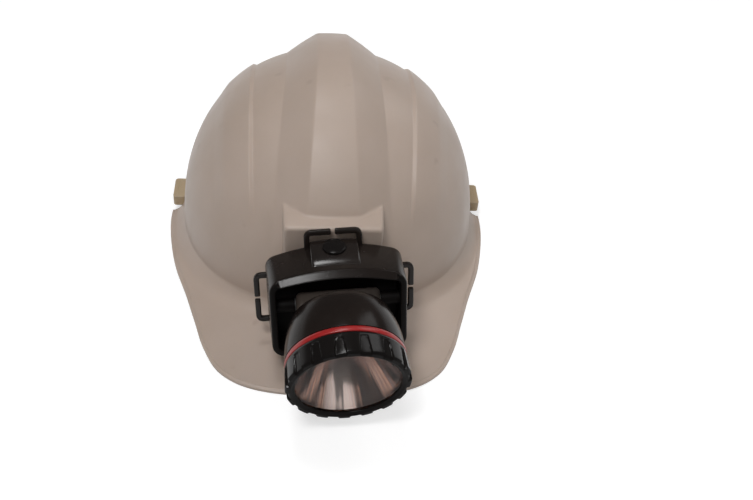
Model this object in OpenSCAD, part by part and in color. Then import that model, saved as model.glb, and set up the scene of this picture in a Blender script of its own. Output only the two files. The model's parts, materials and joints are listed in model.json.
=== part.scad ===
// Ridged miner's helmet with a tilting head lamp hooked on its front bracket.
// The wearer faces -Y, +Z is up, and the brim's lower edge lies in the plane z = 0.

/* [Helmet shell] */
// Half width of the dome at its base
dome_side = 108; // [106:0.5:110]
// Reach of the dome's base to the front
dome_front = 110.5; // [109.5:0.5:111.5]
// Reach of the dome's base to the rear
dome_rear = 127; // [125:0.5:131]
// Height of the dome above its base, without the ridge
dome_height = 117.5; // [115:0.5:121]
// Height of the dome's base above the brim's lower edge
base_z = 15; // [14:0.5:16]
// Thickness of the moulded shell
wall = 3; // [2.6:0.1:3.2]
// Height of the centre ridge
ridge_height = 11; // [8:0.5:12]
// Height of the two side ridges
side_ridge_height = 2.2; // [1.6:0.2:3.4]
// Height of the brim's edge bead
edge_z = 3.2; // [2.8:0.1:3.6]
// Height of the lamp boss's top face
boss_top = 86.5; // [84.5:0.5:88]

/* [Head harness] */
// Width of a crown strap
strap_w = 20; // [16:1:22]
// Angle of each crown strap from the fore-and-aft line
strap_angle = 40; // [36:1:44]
// Height of the headband
band_h = 24; // [20:1:26]
// Grip flutes round the size knob
knob_flutes = 16; // [10:1:20]

/* [Lamp] */
// Width of the battery housing at its back
housing_w = 88.8; // [88:0.2:89.6]
// Height of the battery housing from its base to the top of its corners
housing_h = 57; // [56:0.5:58]
// Rise of the housing's arched top above its corners
arch_rise = 5.6; // [5:0.2:6]
// Depth of the battery housing from back to front
housing_d = 34.4; // [34:0.2:35]
// Backward lean of the hooked lamp
lamp_lean = 13; // [12.5:0.1:13.2]
// Turn of the lamp to the wearer's left, within the hook's play
lamp_yaw = 4; // [2:0.5:4.5]
// Sideways tilt of the lamp, within the hook's play
lamp_roll = 2.7; // [1:0.1:3]
// Downward tilt of the lamp head from the housing
head_tilt = 22.6; // [14:0.2:22.6]

/* [Lamp head] */
// Outer radius of the bezel
bezel_r = 38; // [37.6:0.1:38.4]
// Radius of the bezel's lens opening
lens_opening_r = 31.9; // [31.5:0.1:32.2]
// Grip notches round the bezel
bezel_notches = 16; // [12:1:18]
// Radius of the hood at its back
hood_back_r = 30.2; // [29.8:0.1:31]

/* [Hidden] */
$fn = 64;

// Shell form
plan_power = 1.94;
side_power = 2.16;
ridge_flat = 11;
ridge_widening = 10;
ridge_flank = 22;
side_ridge_x = [56, 60, 76, 86];
side_ridge_closing = 4;
row_step = 5;
rows = 180 / row_step + 1;
brim_thickness = 2.6;
fillet_reach = 9;
rear_flange = 4;
// Brim outline: angle from the front, and reach from the dome's axis
brim_reach = [[0, 176], [17, 178], [25, 173], [32, 160], [40, 144.5], [50, 132], [62, 125],
    [76, 120.5], [97, 119.5]];
brim_end = 97;
// Boss and bracket
boss_r = 3;
boss_foot = 16;
boss_back_half = 34.2;
boss_front_half = 32.2;
boss_front_y = -109.8;
pocket_z = [29, 45];
pocket_y = -118.8;
slot_y = [-116.6, -112.8];
pocket_half = 16;
slot_half = 13.5;
// Side accessory slots
slot_block_x = [104, 118.3];
slot_block_y = [6.5, 29];
slot_block_z = [7, 16];
slot_wall = 2.2;
slot_gap_x = [109.6, 114.8];
// Harness
band_y = 4;
band_z = 8;
band_r = 78;
band_t = 1.6;
band_offset = 20;
pad_t = [0.8, 3.4];
pad_overhang = 4;
pad_arc = 136;
strap_t = 1.2;
strap_foot_z = 18;
strap_top_z = 104;
strap_power = 2.6;
key_w = 20;
key_plate = [11, 8];
key_hook = [4.8, 2.8];
key_top = 40;
key_bottom = 2.5;
stud_r = 2.5;
stud_z = 14;
socket_z = [9, 24];
ratchet_arc = 21;
knob_r = 13;
knob_t = 8;
shaft_r = 5;
running_fit = 0.05;
// Lamp housing, which its draft makes smaller towards the front
lamp_pos = [1.9, -121.2, 43.8];
base_drop = 28;
corner_r = 8;
draft = [1.1, 0.9, 1.3];
case_wall = 2.2;
frame_wall = 4;
chamfer = 3.9;
cover_t = 2.4;
floor_y = [12.5, 14.5];
loop_depth = 3;
loop_bar = 3.2;
loop_gap = 2.5;
loop_z = [-19.2, 17.2];
loop_reach = 7.9;
top_loop_half = 18.5;
top_loop_z = 45.8;
post = [36, 18];
post_r = 3.2;
hook_screw = [16, 7];
screw_r = 1.1;
head_r = 2.3;
pod_half = 15.4;
pod_seat = 30;
pod_lean = 13;
pod_top = [0, -11.3, 38];
button_r = 7.25;
button_flat = 6.4;
pod_wall_y = 3.9;
pivot = [0, -24.6, 6];
axle_r = 1.5;
block_half = [26.7, 9.5];
block_back = -4;
// Lamp head, along the beam's own axis, which passes above the pivot
beam_rise = 5;
hood_s = [16.7, 46.7];
neck_s = 56.5;
neck_r = 35.2;
ring_s = [46.75, 50.7];
ring_r = 37.1;
bezel_s = [51, 66.5];
notch_s = 53.4;
notch_turn = 8;
notch_half = [2.2, 3.7];
notch_depth = 0.9;
lip_s = 63.4;
lens_s = [60.55, 62.5];
lens_r = 34.6;
led_s = 31.9;
mirror_s = [30.4, 59];

shell_white = [0.80, 0.76, 0.71];
web_grey = [0.35, 0.36, 0.38];
case_black = [0.10, 0.09, 0.09];
gloss_black = [0.06, 0.06, 0.06];
trim_red = [0.72, 0.12, 0.12];
steel = [0.72, 0.73, 0.75];

function clamp01(v) = max(0, min(1, v));
function smooth(v) = let (s = clamp01(v)) s * s * (3 - 2 * s);

// ---- Helmet shell form ----

// Radius of the centre section at angle b from straight up, t inside the outer surface
function section_r(b, t) = let (reach = (b < 0 ? dome_front : dome_rear) - t)
    pow(pow(abs(sin(b)) / reach, plan_power)
        + pow(abs(cos(b)) / (dome_height - t), plan_power), -1 / plan_power);

function narrowing(x) = pow(max(0, 1 - pow(abs(x) / dome_side, side_power)), 1 / side_power);

// Reach of the plain dome to the front on station x at height z
function dome_y(x, z) = dome_front * pow(pow(narrowing(x), plan_power)
    - pow((z - base_z) / dome_height, plan_power), 1 / plan_power);

function flat_half(b) = ridge_flat + ridge_widening * clamp01(-b / 90);

function centre_ridge(x, b) = ridge_height * smooth((b < 0 ? b + 73 : 88 - b) / 22)
    * clamp01((flat_half(b) + ridge_flank - abs(x)) / ridge_flank);

// Edges of a side ridge at angle b: the ridges close in towards the front
function side_edges(b) = [for (x = side_ridge_x) x - side_ridge_closing * clamp01(-b / 70)];

function side_ridge(x, b) = let (e = side_edges(b))
    side_ridge_height * smooth((b < 0 ? b + 62 : 72 - b) / 16)
        * clamp01(min((abs(x) - e[0]) / (e[1] - e[0]), (e[3] - abs(x)) / (e[3] - e[2])));

// Point of the dome on station x, at angle b, t inside the outer surface
function dome_point(x, b, t) =
    let (rho = section_r(b, t) * narrowing(x) + centre_ridge(x, b) + side_ridge(x, b))
    [x * (dome_side - t) / dome_side, rho * sin(b), base_z + rho * cos(b)];

// Stations from the centre line to the pole, which follow the ridges' edges
function half_stations(b) = let (w = flat_half(b), e = side_edges(b))
    [w / 2, w, w + ridge_flank, 46, e[0], e[1], 66, e[2], e[3], 91, 95.5, 100, 103.5, 106.3,
        107.6];
function stations(b) = let (h = half_stations(b), n = len(h))
    concat([for (i = [n - 1 : -1 : 0]) -h[i]], [0], h);

function rim_r(a) = let (reach = cos(a) > 0 ? dome_front : dome_rear)
    pow(pow(abs(sin(a)) / dome_side, side_power) + pow(abs(cos(a)) / reach, side_power),
        -1 / side_power);

// Smooth curve through a table of [angle, reach] pairs
function slope(t, i) = let (a = max(i - 1, 0), b = min(i + 1, len(t) - 1))
    i == 0 ? 0 : (t[b][1] - t[a][1]) / (t[b][0] - t[a][0]);
function table_at(t, v, i = 0) = i < len(t) - 2 && v > t[i + 1][0] ? table_at(t, v, i + 1) :
    let (h = t[i + 1][0] - t[i][0], s = (v - t[i][0]) / h, s2 = s * s, s3 = s2 * s)
    (2 * s3 - 3 * s2 + 1) * t[i][1] + (s3 - 2 * s2 + s) * h * slope(t, i)
        + (3 * s2 - 2 * s3) * t[i + 1][1] + (s3 - s2) * h * slope(t, i + 1);

// Reach of the brim's edge at angle a from the front
function edge_reach(a) = a <= brim_end ? table_at(brim_reach, a) : rim_r(a) + rear_flange;

// Height of the brim's upper face at distance d out from the dome, for a brim of width w
function brim_z(d, w) = edge_z + (base_z - edge_z) * (0.5 * pow(1 - min(1, d / w), 1.4)
    + 0.5 * pow(1 - min(1, d / min(fillet_reach, w)), 2));

// Profile round the brim: over the top, down the bead, and back underneath
function brim_profile(w) =
    let (lip = min(2.6, 0.45 * w), flat = w - lip,
        top = [for (f = [0.07, 0.16, 0.3, 0.52, 0.76, 1]) [f * flat, brim_z(f * flat, flat)]],
        under = [for (f = [0.9, 0.62, 0.36, 0.18, 0.07]) let (d = f * flat,
            fall = atan((brim_z(d, flat) - brim_z(d + 0.01, flat)) / 0.01))
            [d - brim_thickness * sin(fall), brim_z(d, flat) - brim_thickness * cos(fall)]])
    concat(top, [[flat + 0.6, edge_z - 0.8], [w - 0.3, edge_z - 0.9], [w, edge_z - 1.4],
        [w, 0], [flat - 0.2, 0]], under);

module shell_skin() {
    n = len(stations(0)) + 2;
    inner = 2 + (n - 2) * rows;
    loop = 2 * n - 2;
    steps = len(brim_profile(10)) + 1;
    angles = [for (j = [0 : rows - 1]) -90 + row_step * j];
    function dome_id(i, j) = i == 0 ? 0 : i == n - 1 ? 1 : 2 + (i - 1) * rows + j;
    function rim_id(k) = let (c = k % loop) c == 0 ? 0 : c < n ? dome_id(c, 0)
        : dome_id(loop - c, rows - 1);
    function ring_id(k, p) = p == 0 ? rim_id(k) : p == steps ? inner + rim_id(k)
        : 2 * inner + (k % loop) * (steps - 1) + p - 1;
    function skin(t) = concat([dome_point(-dome_side, 0, t), dome_point(dome_side, 0, t)],
        [for (i = [0 : n - 3]) for (b = angles) dome_point(stations(b)[i], b, t)]);
    outer_points = skin(0);
    brim_points = [for (k = [0 : loop - 1]) let (p = outer_points[rim_id(k)],
        r = norm([p.x, p.y]), u = [p.x, p.y] / r, a = acos(-u.y))
        for (q = brim_profile(edge_reach(a) - r)) [u.x * (r + q[0]), u.y * (r + q[0]), q[1]]];
    quads = [for (i = [0 : n - 2]) for (j = [0 : rows - 2])
        [dome_id(i, j), dome_id(i, j + 1), dome_id(i + 1, j + 1), dome_id(i + 1, j)]];
    outside = [for (q = quads) for (t = [[q[0], q[1], q[2]], [q[0], q[2], q[3]]])
        if (t[0] != t[1] && t[1] != t[2] && t[0] != t[2]) t];
    inside = [for (t = outside) [t[2] + inner, t[1] + inner, t[0] + inner]];
    ring = [for (k = [0 : loop - 1]) for (p = [0 : steps - 1])
        for (t = [[ring_id(k, p), ring_id(k + 1, p), ring_id(k + 1, p + 1)],
            [ring_id(k, p), ring_id(k + 1, p + 1), ring_id(k, p + 1)]]) t];
    polyhedron(concat(outer_points, skin(wall), brim_points), concat(outside, inside, ring));
}

module pillar_box(low, high, r) {
    hull()
        for (x = [low.x + r, high.x - r], y = [low.y + r, high.y - r])
            translate([x, y, low.z]) cylinder(h = high.z - low.z, r = r, $fn = 20);
}

// Boss on the front of the dome, inset by t, in levels whose back follows the dome's slope
module lamp_boss(t, depth) {
    back_x = boss_back_half - t;
    front = [boss_front_half - t, boss_front_y + t];
    r = max(boss_r - t, 0.6);
    z = [for (f = [0 : 3]) boss_foot + t + (boss_top - boss_foot - 2 * t - r) * f / 3];
    for (i = [0 : 2])
        hull()
            for (s = [-1, 1], k = [i, i + 1]) {
                translate([s * (front.x - r), front.y + r, z[k]]) sphere(r, $fn = 16);
                translate([s * (back_x - r), depth - dome_y(back_x, z[k]) - r, z[k]])
                    sphere(r, $fn = 16);
            }
}

module mirrored() {
    children();
    mirror([1, 0, 0]) children();
}

// Puts children at each harness key: +X points outwards and x = 0 is the shell's inner wall
module at_keys() {
    for (a = [strap_angle, 180 - strap_angle])
        mirrored()
            rotate([0, 0, a - 90]) translate([rim_r(a) - wall, 0, 0]) children();
}

module helmet_shell() {
    color(shell_white)
    difference() {
        union() {
            shell_skin();
            lamp_boss(0, 3.5);
            pillar_box([-pocket_half, pocket_y, pocket_z[0]],
                [pocket_half, boss_front_y + 2, pocket_z[1]], 1.5);
            mirrored()
                pillar_box([slot_block_x[0], slot_block_y[0], slot_block_z[0]],
                    [slot_block_x[1], slot_block_y[1], slot_block_z[1]], 2);
            at_keys()
                pillar_box([-6, -10.5, socket_z[0]], [0.8, 10.5, socket_z[1]], 1);
        }
        lamp_boss(wall, 14);
        translate([-slot_half, slot_y[0], pocket_z[0] - 1])
            cube([2 * slot_half, slot_y[1] - slot_y[0], pocket_z[1] - pocket_z[0] + 2]);
        mirrored()
            translate([slot_gap_x[0], slot_block_y[0] + slot_wall, -1])
                cube([slot_gap_x[1] - slot_gap_x[0],
                    slot_block_y[1] - slot_block_y[0] - 2 * slot_wall, 40]);
        at_keys()
            translate([-key_hook[0] - 0.4, -8.5, socket_z[0] - 1])
                cube([key_hook[0] - key_hook[1] + 0.8, 17, socket_z[1] - socket_z[0] - 1]);
    }
}

// ---- Head harness ----

// Oval of two half circles, r in radius, joined by straight sides
module oval(r) {
    for (s = [-1, 1])
        translate([0, s * band_offset]) circle(r, $fn = 96);
    square([2 * r, 2 * band_offset], center = true);
}

module band_ring(r, z, h) {
    translate([0, band_y, z])
        linear_extrude(h)
            difference() {
                oval(r + band_t);
                oval(r);
            }
}

// Reach of the headband's outside from the dome's axis, at angle a from the front
function band_reach(a) = let (c = cos(a), o = (c > 0 ? band_offset - band_y : band_offset + band_y),
        k = abs(c) * o)
    k + sqrt(k * k + pow(band_r + band_t, 2) - o * o);

module headband() {
    color(web_grey)
    union() {
        difference() {
            band_ring(band_r, band_z, band_h);
            translate([-9, 60, 0]) cube([18, 60, 60]);
        }
        for (a = [strap_angle, 180 - strap_angle])
            mirrored()
                rotate([0, 0, a - 90]) translate([band_reach(a) - band_t / 2, 0, stud_z])
                    rotate([0, 90, 0])
                        cylinder(h = rim_r(a) - wall - key_plate[1] - band_reach(a)
                            + band_t / 2, r = stud_r);
    }
}

// Sweatband inside the headband's front: it swells towards the brow and thins to its edges
module brow_pad() {
    back_x = band_r - 0.3;
    h = band_h + 2 * pad_overhang;
    crown = [for (k = [0 : 12]) let (v = 2 * k / 12 - 1)
        [back_x - pad_t[0] - (pad_t[1] - pad_t[0]) * pow(cos(90 * v), 0.6), h * (v + 1) / 2]];
    color([0.12, 0.12, 0.13])
        translate([0, band_y - band_offset, band_z - pad_overhang])
            rotate([0, 0, 270 - pad_arc / 2])
                rotate_extrude(angle = pad_arc, $fn = 96)
                    polygon(concat(crown, [[back_x, h], [back_x, 0]]));
}

// Crown strap arch in its own plane, from the front key to the rear key
module strap(lift) {
    ends = [rim_r(strap_angle) - wall - key_plate[0] - 0.2,
        rim_r(180 - strap_angle) - wall - key_plate[0] - 0.2];
    function arch(v, inset) = let (e = 2 / strap_power,
            reach = (v < 90 ? ends[0] : ends[1]) - inset,
            rise = strap_top_z + lift - strap_foot_z - inset)
        [-sign(cos(v)) * reach * pow(abs(cos(v)), e), strap_foot_z + rise * pow(sin(v), e)];
    spread = [for (k = [0 : 48]) 180 * k / 48];
    back = [for (k = [48 : -1 : 0]) 180 * k / 48];
    rotate([90, 0, 0])
        translate([0, 0, -strap_w / 2])
            linear_extrude(strap_w)
                polygon(concat([for (v = spread) arch(v, 0)], [for (v = back) arch(v, strap_t)]));
}

module crown_strap_left() {
    color(web_grey) rotate([0, 0, 90 - strap_angle]) strap(0);
}

module crown_strap_right() {
    color(web_grey) rotate([0, 0, 90 + strap_angle]) strap(strap_t + 0.4);
}

module harness_keys() {
    color([0.82, 0.82, 0.80])
    at_keys()
        difference() {
            union() {
                translate([-key_plate[0], -key_w / 2, key_bottom])
                    cube([key_plate[0] - key_plate[1], key_w, key_top - key_bottom]);
                translate([-key_plate[0], -8, key_bottom])
                    cube([key_plate[0] - key_hook[1], 16, 3]);
                translate([-key_hook[0], -8, key_bottom])
                    cube([key_hook[0] - key_hook[1], 16, socket_z[1] - 3 - key_bottom]);
            }
            translate([-key_plate[0] - 1, 0, stud_z]) rotate([0, 90, 0])
                cylinder(h = 5, r = stud_r + running_fit);
            translate([-key_plate[0] - 1, -key_w / 2 + 3, key_top - 8])
                cube([6, key_w - 6, 4]);
        }
}

// Arc of the ratchet round the headband's rear
module ratchet_ring(r0, r1, z0, z1, half_angle) {
    translate([0, band_y + band_offset, 0])
        rotate([0, 0, 90 - half_angle])
            rotate_extrude(angle = 2 * half_angle, $fn = 96)
                translate([r0, z0]) square([r1 - r0, z1 - z0]);
}

// Puts children on the knob's axis, with +Z pointing to the rear
module at_knob(r) {
    translate([0, band_y + band_offset + r, band_z + band_h / 2]) rotate([-90, 0, 0]) children();
}

module ratchet_housing() {
    color(case_black)
    difference() {
        ratchet_ring(band_r - 0.3, band_r + 5.4, band_z - 2.5, band_z + band_h + 2.5,
            ratchet_arc);
        ratchet_ring(band_r - 1, band_r + band_t + 0.3, band_z - 0.3, band_z + band_h + 0.3,
            ratchet_arc + 1);
        at_knob(band_r) cylinder(h = 8, r = shaft_r + running_fit);
    }
}

module ratchet_cover() {
    color(case_black)
        ratchet_ring(band_r - 1.6, band_r - 0.3, band_z - 2.5, band_z + band_h + 2.5,
            ratchet_arc);
}

// Spoked pinion outline that takes the band's racks
module pinion_outline() {
    teeth = 12;
    polygon([for (k = [0 : 2 * teeth - 1]) for (s = [-1, 1])
        let (a = 180 / teeth * k + s * 4, r = k % 2 == 0 ? 8 : 6.4) r * [cos(a), sin(a)]]);
}

module size_knob() {
    color(gloss_black)
    difference() {
        union() {
            at_knob(band_r + 0.1) linear_extrude(1.2) pinion_outline();
            at_knob(band_r + 0.3) cylinder(h = 7, r = shaft_r);
            at_knob(band_r + 5.8)
                linear_extrude(knob_t)
                    difference() {
                        circle(knob_r);
                        for (k = [0 : knob_flutes - 1])
                            rotate(360 / knob_flutes * k) translate([knob_r + 0.7, 0])
                                circle(1.6, $fn = 24);
                    }
        }
        at_knob(band_r + 5.8 + knob_t - 2) cylinder(h = 3, r = 3.4);
        at_knob(band_r - 1) cylinder(h = 20, r = 1.5);
    }
}

module knob_screw() {
    color(steel)
    union() {
        at_knob(band_r + 5.8 + knob_t - 2) cylinder(h = 1.6, r = 3);
        at_knob(band_r + 0.2) cylinder(h = 5.8 + knob_t - 2, r = 1.45);
    }
}

// ---- Lamp housing ----

// Lamp frame: origin at the middle of the housing's back face, +Y towards the helmet
module lamp_place() {
    translate(lamp_pos) rotate([0, 0, lamp_yaw]) rotate([-lamp_lean, 0, 0])
        rotate([0, -lamp_roll, 0]) children();
}

// Extrudes a front-view outline from depth d0 to depth d1 in front of the back face
module slab(d0, d1) {
    translate([0, -d0, 0]) rotate([90, 0, 0]) linear_extrude(d1 - d0) children();
}

module rounded(low, high, r) {
    translate([low.x + r, low.y]) square([high.x - low.x - 2 * r, high.y - low.y]);
    translate([low.x, low.y + r]) square([high.x - low.x, high.y - low.y - 2 * r]);
    for (x = [low.x + r, high.x - r], y = [low.y + r, high.y - r])
        translate([x, y]) circle(r);
}

// Front view of the housing with its arched top, inset all round.
// The draft is 0 for the outline of its back and 1 for the outline of its front.
module housing_outline(inset, drafted = 0) {
    half = housing_w / 2 - draft.x * drafted - inset;
    low = draft.y * drafted - base_drop + inset;
    top = housing_h - base_drop - draft.y * drafted - inset;
    rise = arch_rise - draft.z * drafted;
    chord = half - corner_r - 2 + inset;
    arch_r = (chord * chord + rise * rise) / (2 * rise);
    rounded([-half, low], [half, top], corner_r - inset);
    intersection() {
        translate([0, top + rise - arch_r]) circle(arch_r, $fn = 200);
        translate([-half, top - 0.5]) square([2 * half, rise + 1]);
    }
}

module housing_body() {
    hull() {
        slab(0, 0.1) housing_outline(0, $fn = 32);
        slab(housing_d - 0.1, housing_d) housing_outline(0, 1, $fn = 32);
    }
}

// Strap loop: a bar bent round a slot, parted at its middle so that a strap slips in
module side_loop() {
    reach = housing_w / 2 + loop_reach;
    slab(0, loop_depth)
        difference() {
            rounded([housing_w / 2 - 6, loop_z[0]], [reach, loop_z[1]], 4.5);
            rounded([housing_w / 2 - 3, loop_z[0] + loop_bar], [reach - loop_bar, loop_z[1] - loop_bar],
                1.5);
            translate([housing_w / 2 + 2, (loop_z[0] + loop_z[1] - loop_gap) / 2]) square([9, loop_gap]);
        }
}

module top_loop() {
    slab(0, loop_depth)
        difference() {
            rounded([-top_loop_half, 24], [top_loop_half, top_loop_z], 4.5);
            rounded([loop_bar - top_loop_half, 26], [top_loop_half - loop_bar, top_loop_z - loop_bar],
                1.5);
            translate([-loop_gap / 2, top_loop_z - 6]) square([loop_gap, 8]);
        }
}

// Wedge off the frame's arched upper edge, and off its sides
module frame_chamfer() {
    crown = housing_h - base_drop - draft.y + arch_rise - draft.z;
    half = housing_w / 2 - draft.x;
    arch_r = 134;
    translate([0, chamfer - housing_d, crown - arch_r]) rotate([90, 0, 0])
        intersection() {
            difference() {
                cylinder(h = 8, r = arch_r + 8, $fn = 200);
                translate([0, 0, -0.01])
                    cylinder(h = 8, r1 = arch_r + 0.2, r2 = arch_r - 7.8, $fn = 200);
            }
            translate([-37.5, arch_r - 20, -1]) cube([75, 40, 10]);
        }
    mirrored()
        translate([half, -housing_d, 0]) rotate([0, 0, 45])
            cube([2.2, 2.2, 3 * housing_h], center = true);
}

module lamp_housing() {
    color(case_black)
    lamp_place()
    difference() {
        union() {
            difference() {
                union() {
                    housing_body();
                    mirrored() side_loop();
                    top_loop();
                }
                slab(-1, floor_y[0]) housing_outline(case_wall);
                slab(floor_y[1], housing_d + 1) housing_outline(frame_wall, 1);
                translate([-33, -housing_d - 1, -base_drop - 1])
                    cube([66, housing_d - floor_y[1] - 1.5, 14]);
                translate([-pod_half, -pod_side[1][0], pod_seat])
                    cube([2 * pod_half, pod_side[1][0] - loop_depth, 12]);
                frame_chamfer();
            }
            for (x = [-post.x, post.x], z = [-post.y, post.y])
                translate([x, -cover_t, z]) rotate([90, 0, 0])
                    cylinder(h = floor_y[0] - cover_t + 0.5, r = post_r);
            mirrored()
                translate([block_half.x + 0.7, pivot.y, pivot.z]) rotate([0, 90, 0])
                    cylinder(h = housing_w / 2 - frame_wall - block_half.x, r = 4.4);
            // Wedge that carries the switch
            translate(pod_top) rotate([pod_lean, 0, 0]) translate([-4, -4, -12]) cube([8, 6.6, 2.55]);
        }
        for (x = [-post.x, post.x], z = [-post.y, post.y])
            translate([x, 1, z]) rotate([90, 0, 0]) cylinder(h = 10, r = screw_r + running_fit);
        translate([-housing_w / 2 + 3, pivot.y, pivot.z]) rotate([0, 90, 0])
            cylinder(h = housing_w - 6, r = axle_r + 0.02);
    }
}

module back_cover() {
    color(case_black)
    lamp_place()
    difference() {
        slab(0, cover_t) housing_outline(case_wall + 0.15);
        for (x = [-post.x, post.x], z = [-post.y, post.y])
            translate([x, 0, z]) rotate([90, 0, 0]) {
                translate([0, 0, -1]) cylinder(h = 5, r = screw_r + 0.2);
                translate([0, 0, -1]) cylinder(h = 2.5, r = head_r + 0.15);
            }
        for (s = [-1, 1])
            translate([s * hook_screw.x, 1, hook_screw.y]) rotate([90, 0, 0])
                cylinder(h = 5, r = screw_r + running_fit);
    }
}

module screw(head, length) {
    rotate([90, 0, 0]) {
        difference() {
            cylinder(h = 1.4, r = head);
            translate([-0.4, -head - 1, -0.01]) cube([0.8, 2 * head + 2, 0.7]);
        }
        translate([0, 0, 1.3]) cylinder(h = length, r = screw_r);
    }
}

module cover_screws() {
    color(steel)
    lamp_place()
        for (x = [-post.x, post.x], z = [-post.y, post.y])
            translate([x, -0.1, z]) screw(head_r, 7);
}

// Hook on the back cover: its tongue hangs straight down into the helmet's bracket
module cap_hook() {
    color(steel)
    lamp_place()
    difference() {
        union() {
            translate([-hook_screw.x - 4, 0, 2]) cube([2 * hook_screw.x + 8, 1.6, 10]);
            translate([0, 1.6, -1.2]) rotate([lamp_lean, 0, 0])
                rotate([90, 0, 90])
                    translate([0, 0, -10])
                        linear_extrude(20)
                            polygon([[-1.6, 8], [4.9, 8], [6.1, 6.8], [6.1, -8.6],
                                [4.3, -8.6], [4.3, 6.2], [-1.6, 6.2]]);
        }
        for (s = [-1, 1])
            translate([s * hook_screw.x, 3, hook_screw.y]) rotate([90, 0, 0])
                cylinder(h = 5, r = screw_r + 0.1);
        translate([-30, -6, -20]) cube([60, 6, 40]);
    }
}

module hook_screws() {
    color(steel)
    lamp_place()
        for (s = [-1, 1])
            translate([s * hook_screw.x, 3.05, hook_screw.y]) screw(2, 3.5);
}

// ---- Switch ----

// Frame on the pod's top face, +Z along the button's travel
module pod_frame() {
    lamp_place() translate(pod_top) rotate([pod_lean, 0, 0]) children();
}

// Side view of the pod, as [depth in front of the back face, height]
pod_side = [[loop_depth, pod_seat], [25.3, pod_seat], [25.3, 33], [20.3, 35.92], [loop_depth, 39.92]];

module switch_pod() {
    color(gloss_black)
    difference() {
        lamp_place()
            rotate([90, 0, -90])
                translate([0, 0, -pod_half])
                    linear_extrude(2 * pod_half) polygon(pod_side);
        lamp_place()
            translate([-13.2, -18.4, pod_seat - 1]) cube([26.4, 13.2, 5]);
        intersection() {
            pod_frame() translate([0, 0, -9.5]) cylinder(h = 7.5, r = 8.4);
            lamp_place() translate([-10, -25, 20]) cube([20, 25 - pod_wall_y, 30]);
        }
        pod_frame() translate([0, 0, -3.4]) cylinder(h = 6, r = button_r + running_fit);
    }
}

module switch_body() {
    color(case_black) pod_frame() translate([-5, -2.9, -9.4]) cube([10, 6.9, 3.2]);
}

module button_spring() {
    color(steel)
    pod_frame()
        translate([0, 0, -6.2]) rotate_extrude() translate([2.6, 0]) square([0.6, 2.9]);
}

module switch_button() {
    color(gloss_black)
    pod_frame() {
        rotate_extrude()
            polygon(concat([[0, -2.2], [button_r, -2.2], [button_r, 1.4]],
                [for (a = [15 : 15 : 90]) [button_r * cos(a), 1.4 + 0.9 * sin(a)]]));
        // Flange that holds the button in, flat at the back where the pod's wall is close
        intersection() {
            rotate_extrude() polygon([[0, -4.9], [2, -4.9], [2, -3.2], [8, -3.2], [8, -2.1], [0, -2.1]]);
            translate([-10, -10, -5]) cube([20, 10 + button_flat, 5]);
        }
    }
}

// ---- Inside the housing ----

module battery_cell() {
    color([0.25, 0.35, 0.62])
    lamp_place()
        slab(2.6, 12.4) rounded([-31, -17], [19, 17], 3);
}

module driver_board() {
    color([0.05, 0.32, 0.14])
    lamp_place()
        slab(10.9, 12.45) rounded([21, -17], [32.5, 17], 0.8);
}

module board_parts() {
    color([0.15, 0.15, 0.16])
    lamp_place() {
        translate([27, -10.9, 9]) rotate([-90, 0, 0]) cylinder(h = 4, r = 3.6);
        slab(9.3, 10.9) translate([24, -4]) square([5.5, 5]);
        slab(9.9, 10.9) translate([23, -13]) square([2.4, 4.5]);
        slab(9.9, 10.9) translate([28, -13]) square([2.4, 4.5]);
    }
}

module hinge_axle() {
    color(steel)
    lamp_place()
        translate([-38, pivot.y, pivot.z]) rotate([0, 90, 0]) cylinder(h = 76, r = axle_r);
}

module friction_washers() {
    color([0.2, 0.2, 0.2])
    lamp_place()
        mirrored()
            translate([block_half.x + 0.1, pivot.y, pivot.z]) rotate([0, 90, 0])
                difference() {
                    cylinder(h = 0.5, r = 4.2);
                    translate([0, 0, -1]) cylinder(h = 3, r = axle_r + 0.1);
                }
}

// ---- Lamp head: +Z runs forward along the beam from the pivot, +Y is up ----

module head_place() {
    lamp_place() translate(pivot) rotate([90 + head_tilt, 0, 0]) children();
}

module beam_place() {
    head_place() translate([0, beam_rise, 0]) children();
}

module tilt_block() {
    r = 4;
    color([0.16, 0.15, 0.14])
    head_place()
    difference() {
        intersection() {
            rotate([0, 90, 0]) translate([0, 0, -block_half.x])
                linear_extrude(2 * block_half.x) {
                    translate([-hood_s[0], -block_half.y])
                        square([hood_s[0], 2 * block_half.y]);
                    translate([-1, -block_half.y + r]) square([1 - block_back, 2 * (block_half.y - r)]);
                    for (s = [-1, 1])
                        translate([-block_back - r, s * (block_half.y - r)]) circle(r);
                }
            translate([0, 0, block_back - 1])
                linear_extrude(hood_s[0] - block_back + 2)
                    rounded(-block_half, block_half, r);
        }
        rotate([0, 90, 0]) cylinder(h = 60, r = axle_r + running_fit, center = true);
        for (x = [-18, 18])
            translate([x, 0, hood_s[0] - 6]) cylinder(h = 7, r = screw_r + running_fit);
        translate([0, 0, 3]) cylinder(h = hood_s[0], r = 4);
    }
}

// Outer radius of the hood at s, a half ellipse towards the back
function hood_r(s) = let (span = hood_s[1] - hood_s[0], front = ring_r - 0.2,
        depth = span / sqrt(1 - pow(hood_back_r / front, 2)))
    front * sqrt(1 - pow((hood_s[1] - s) / depth, 2));

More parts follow.
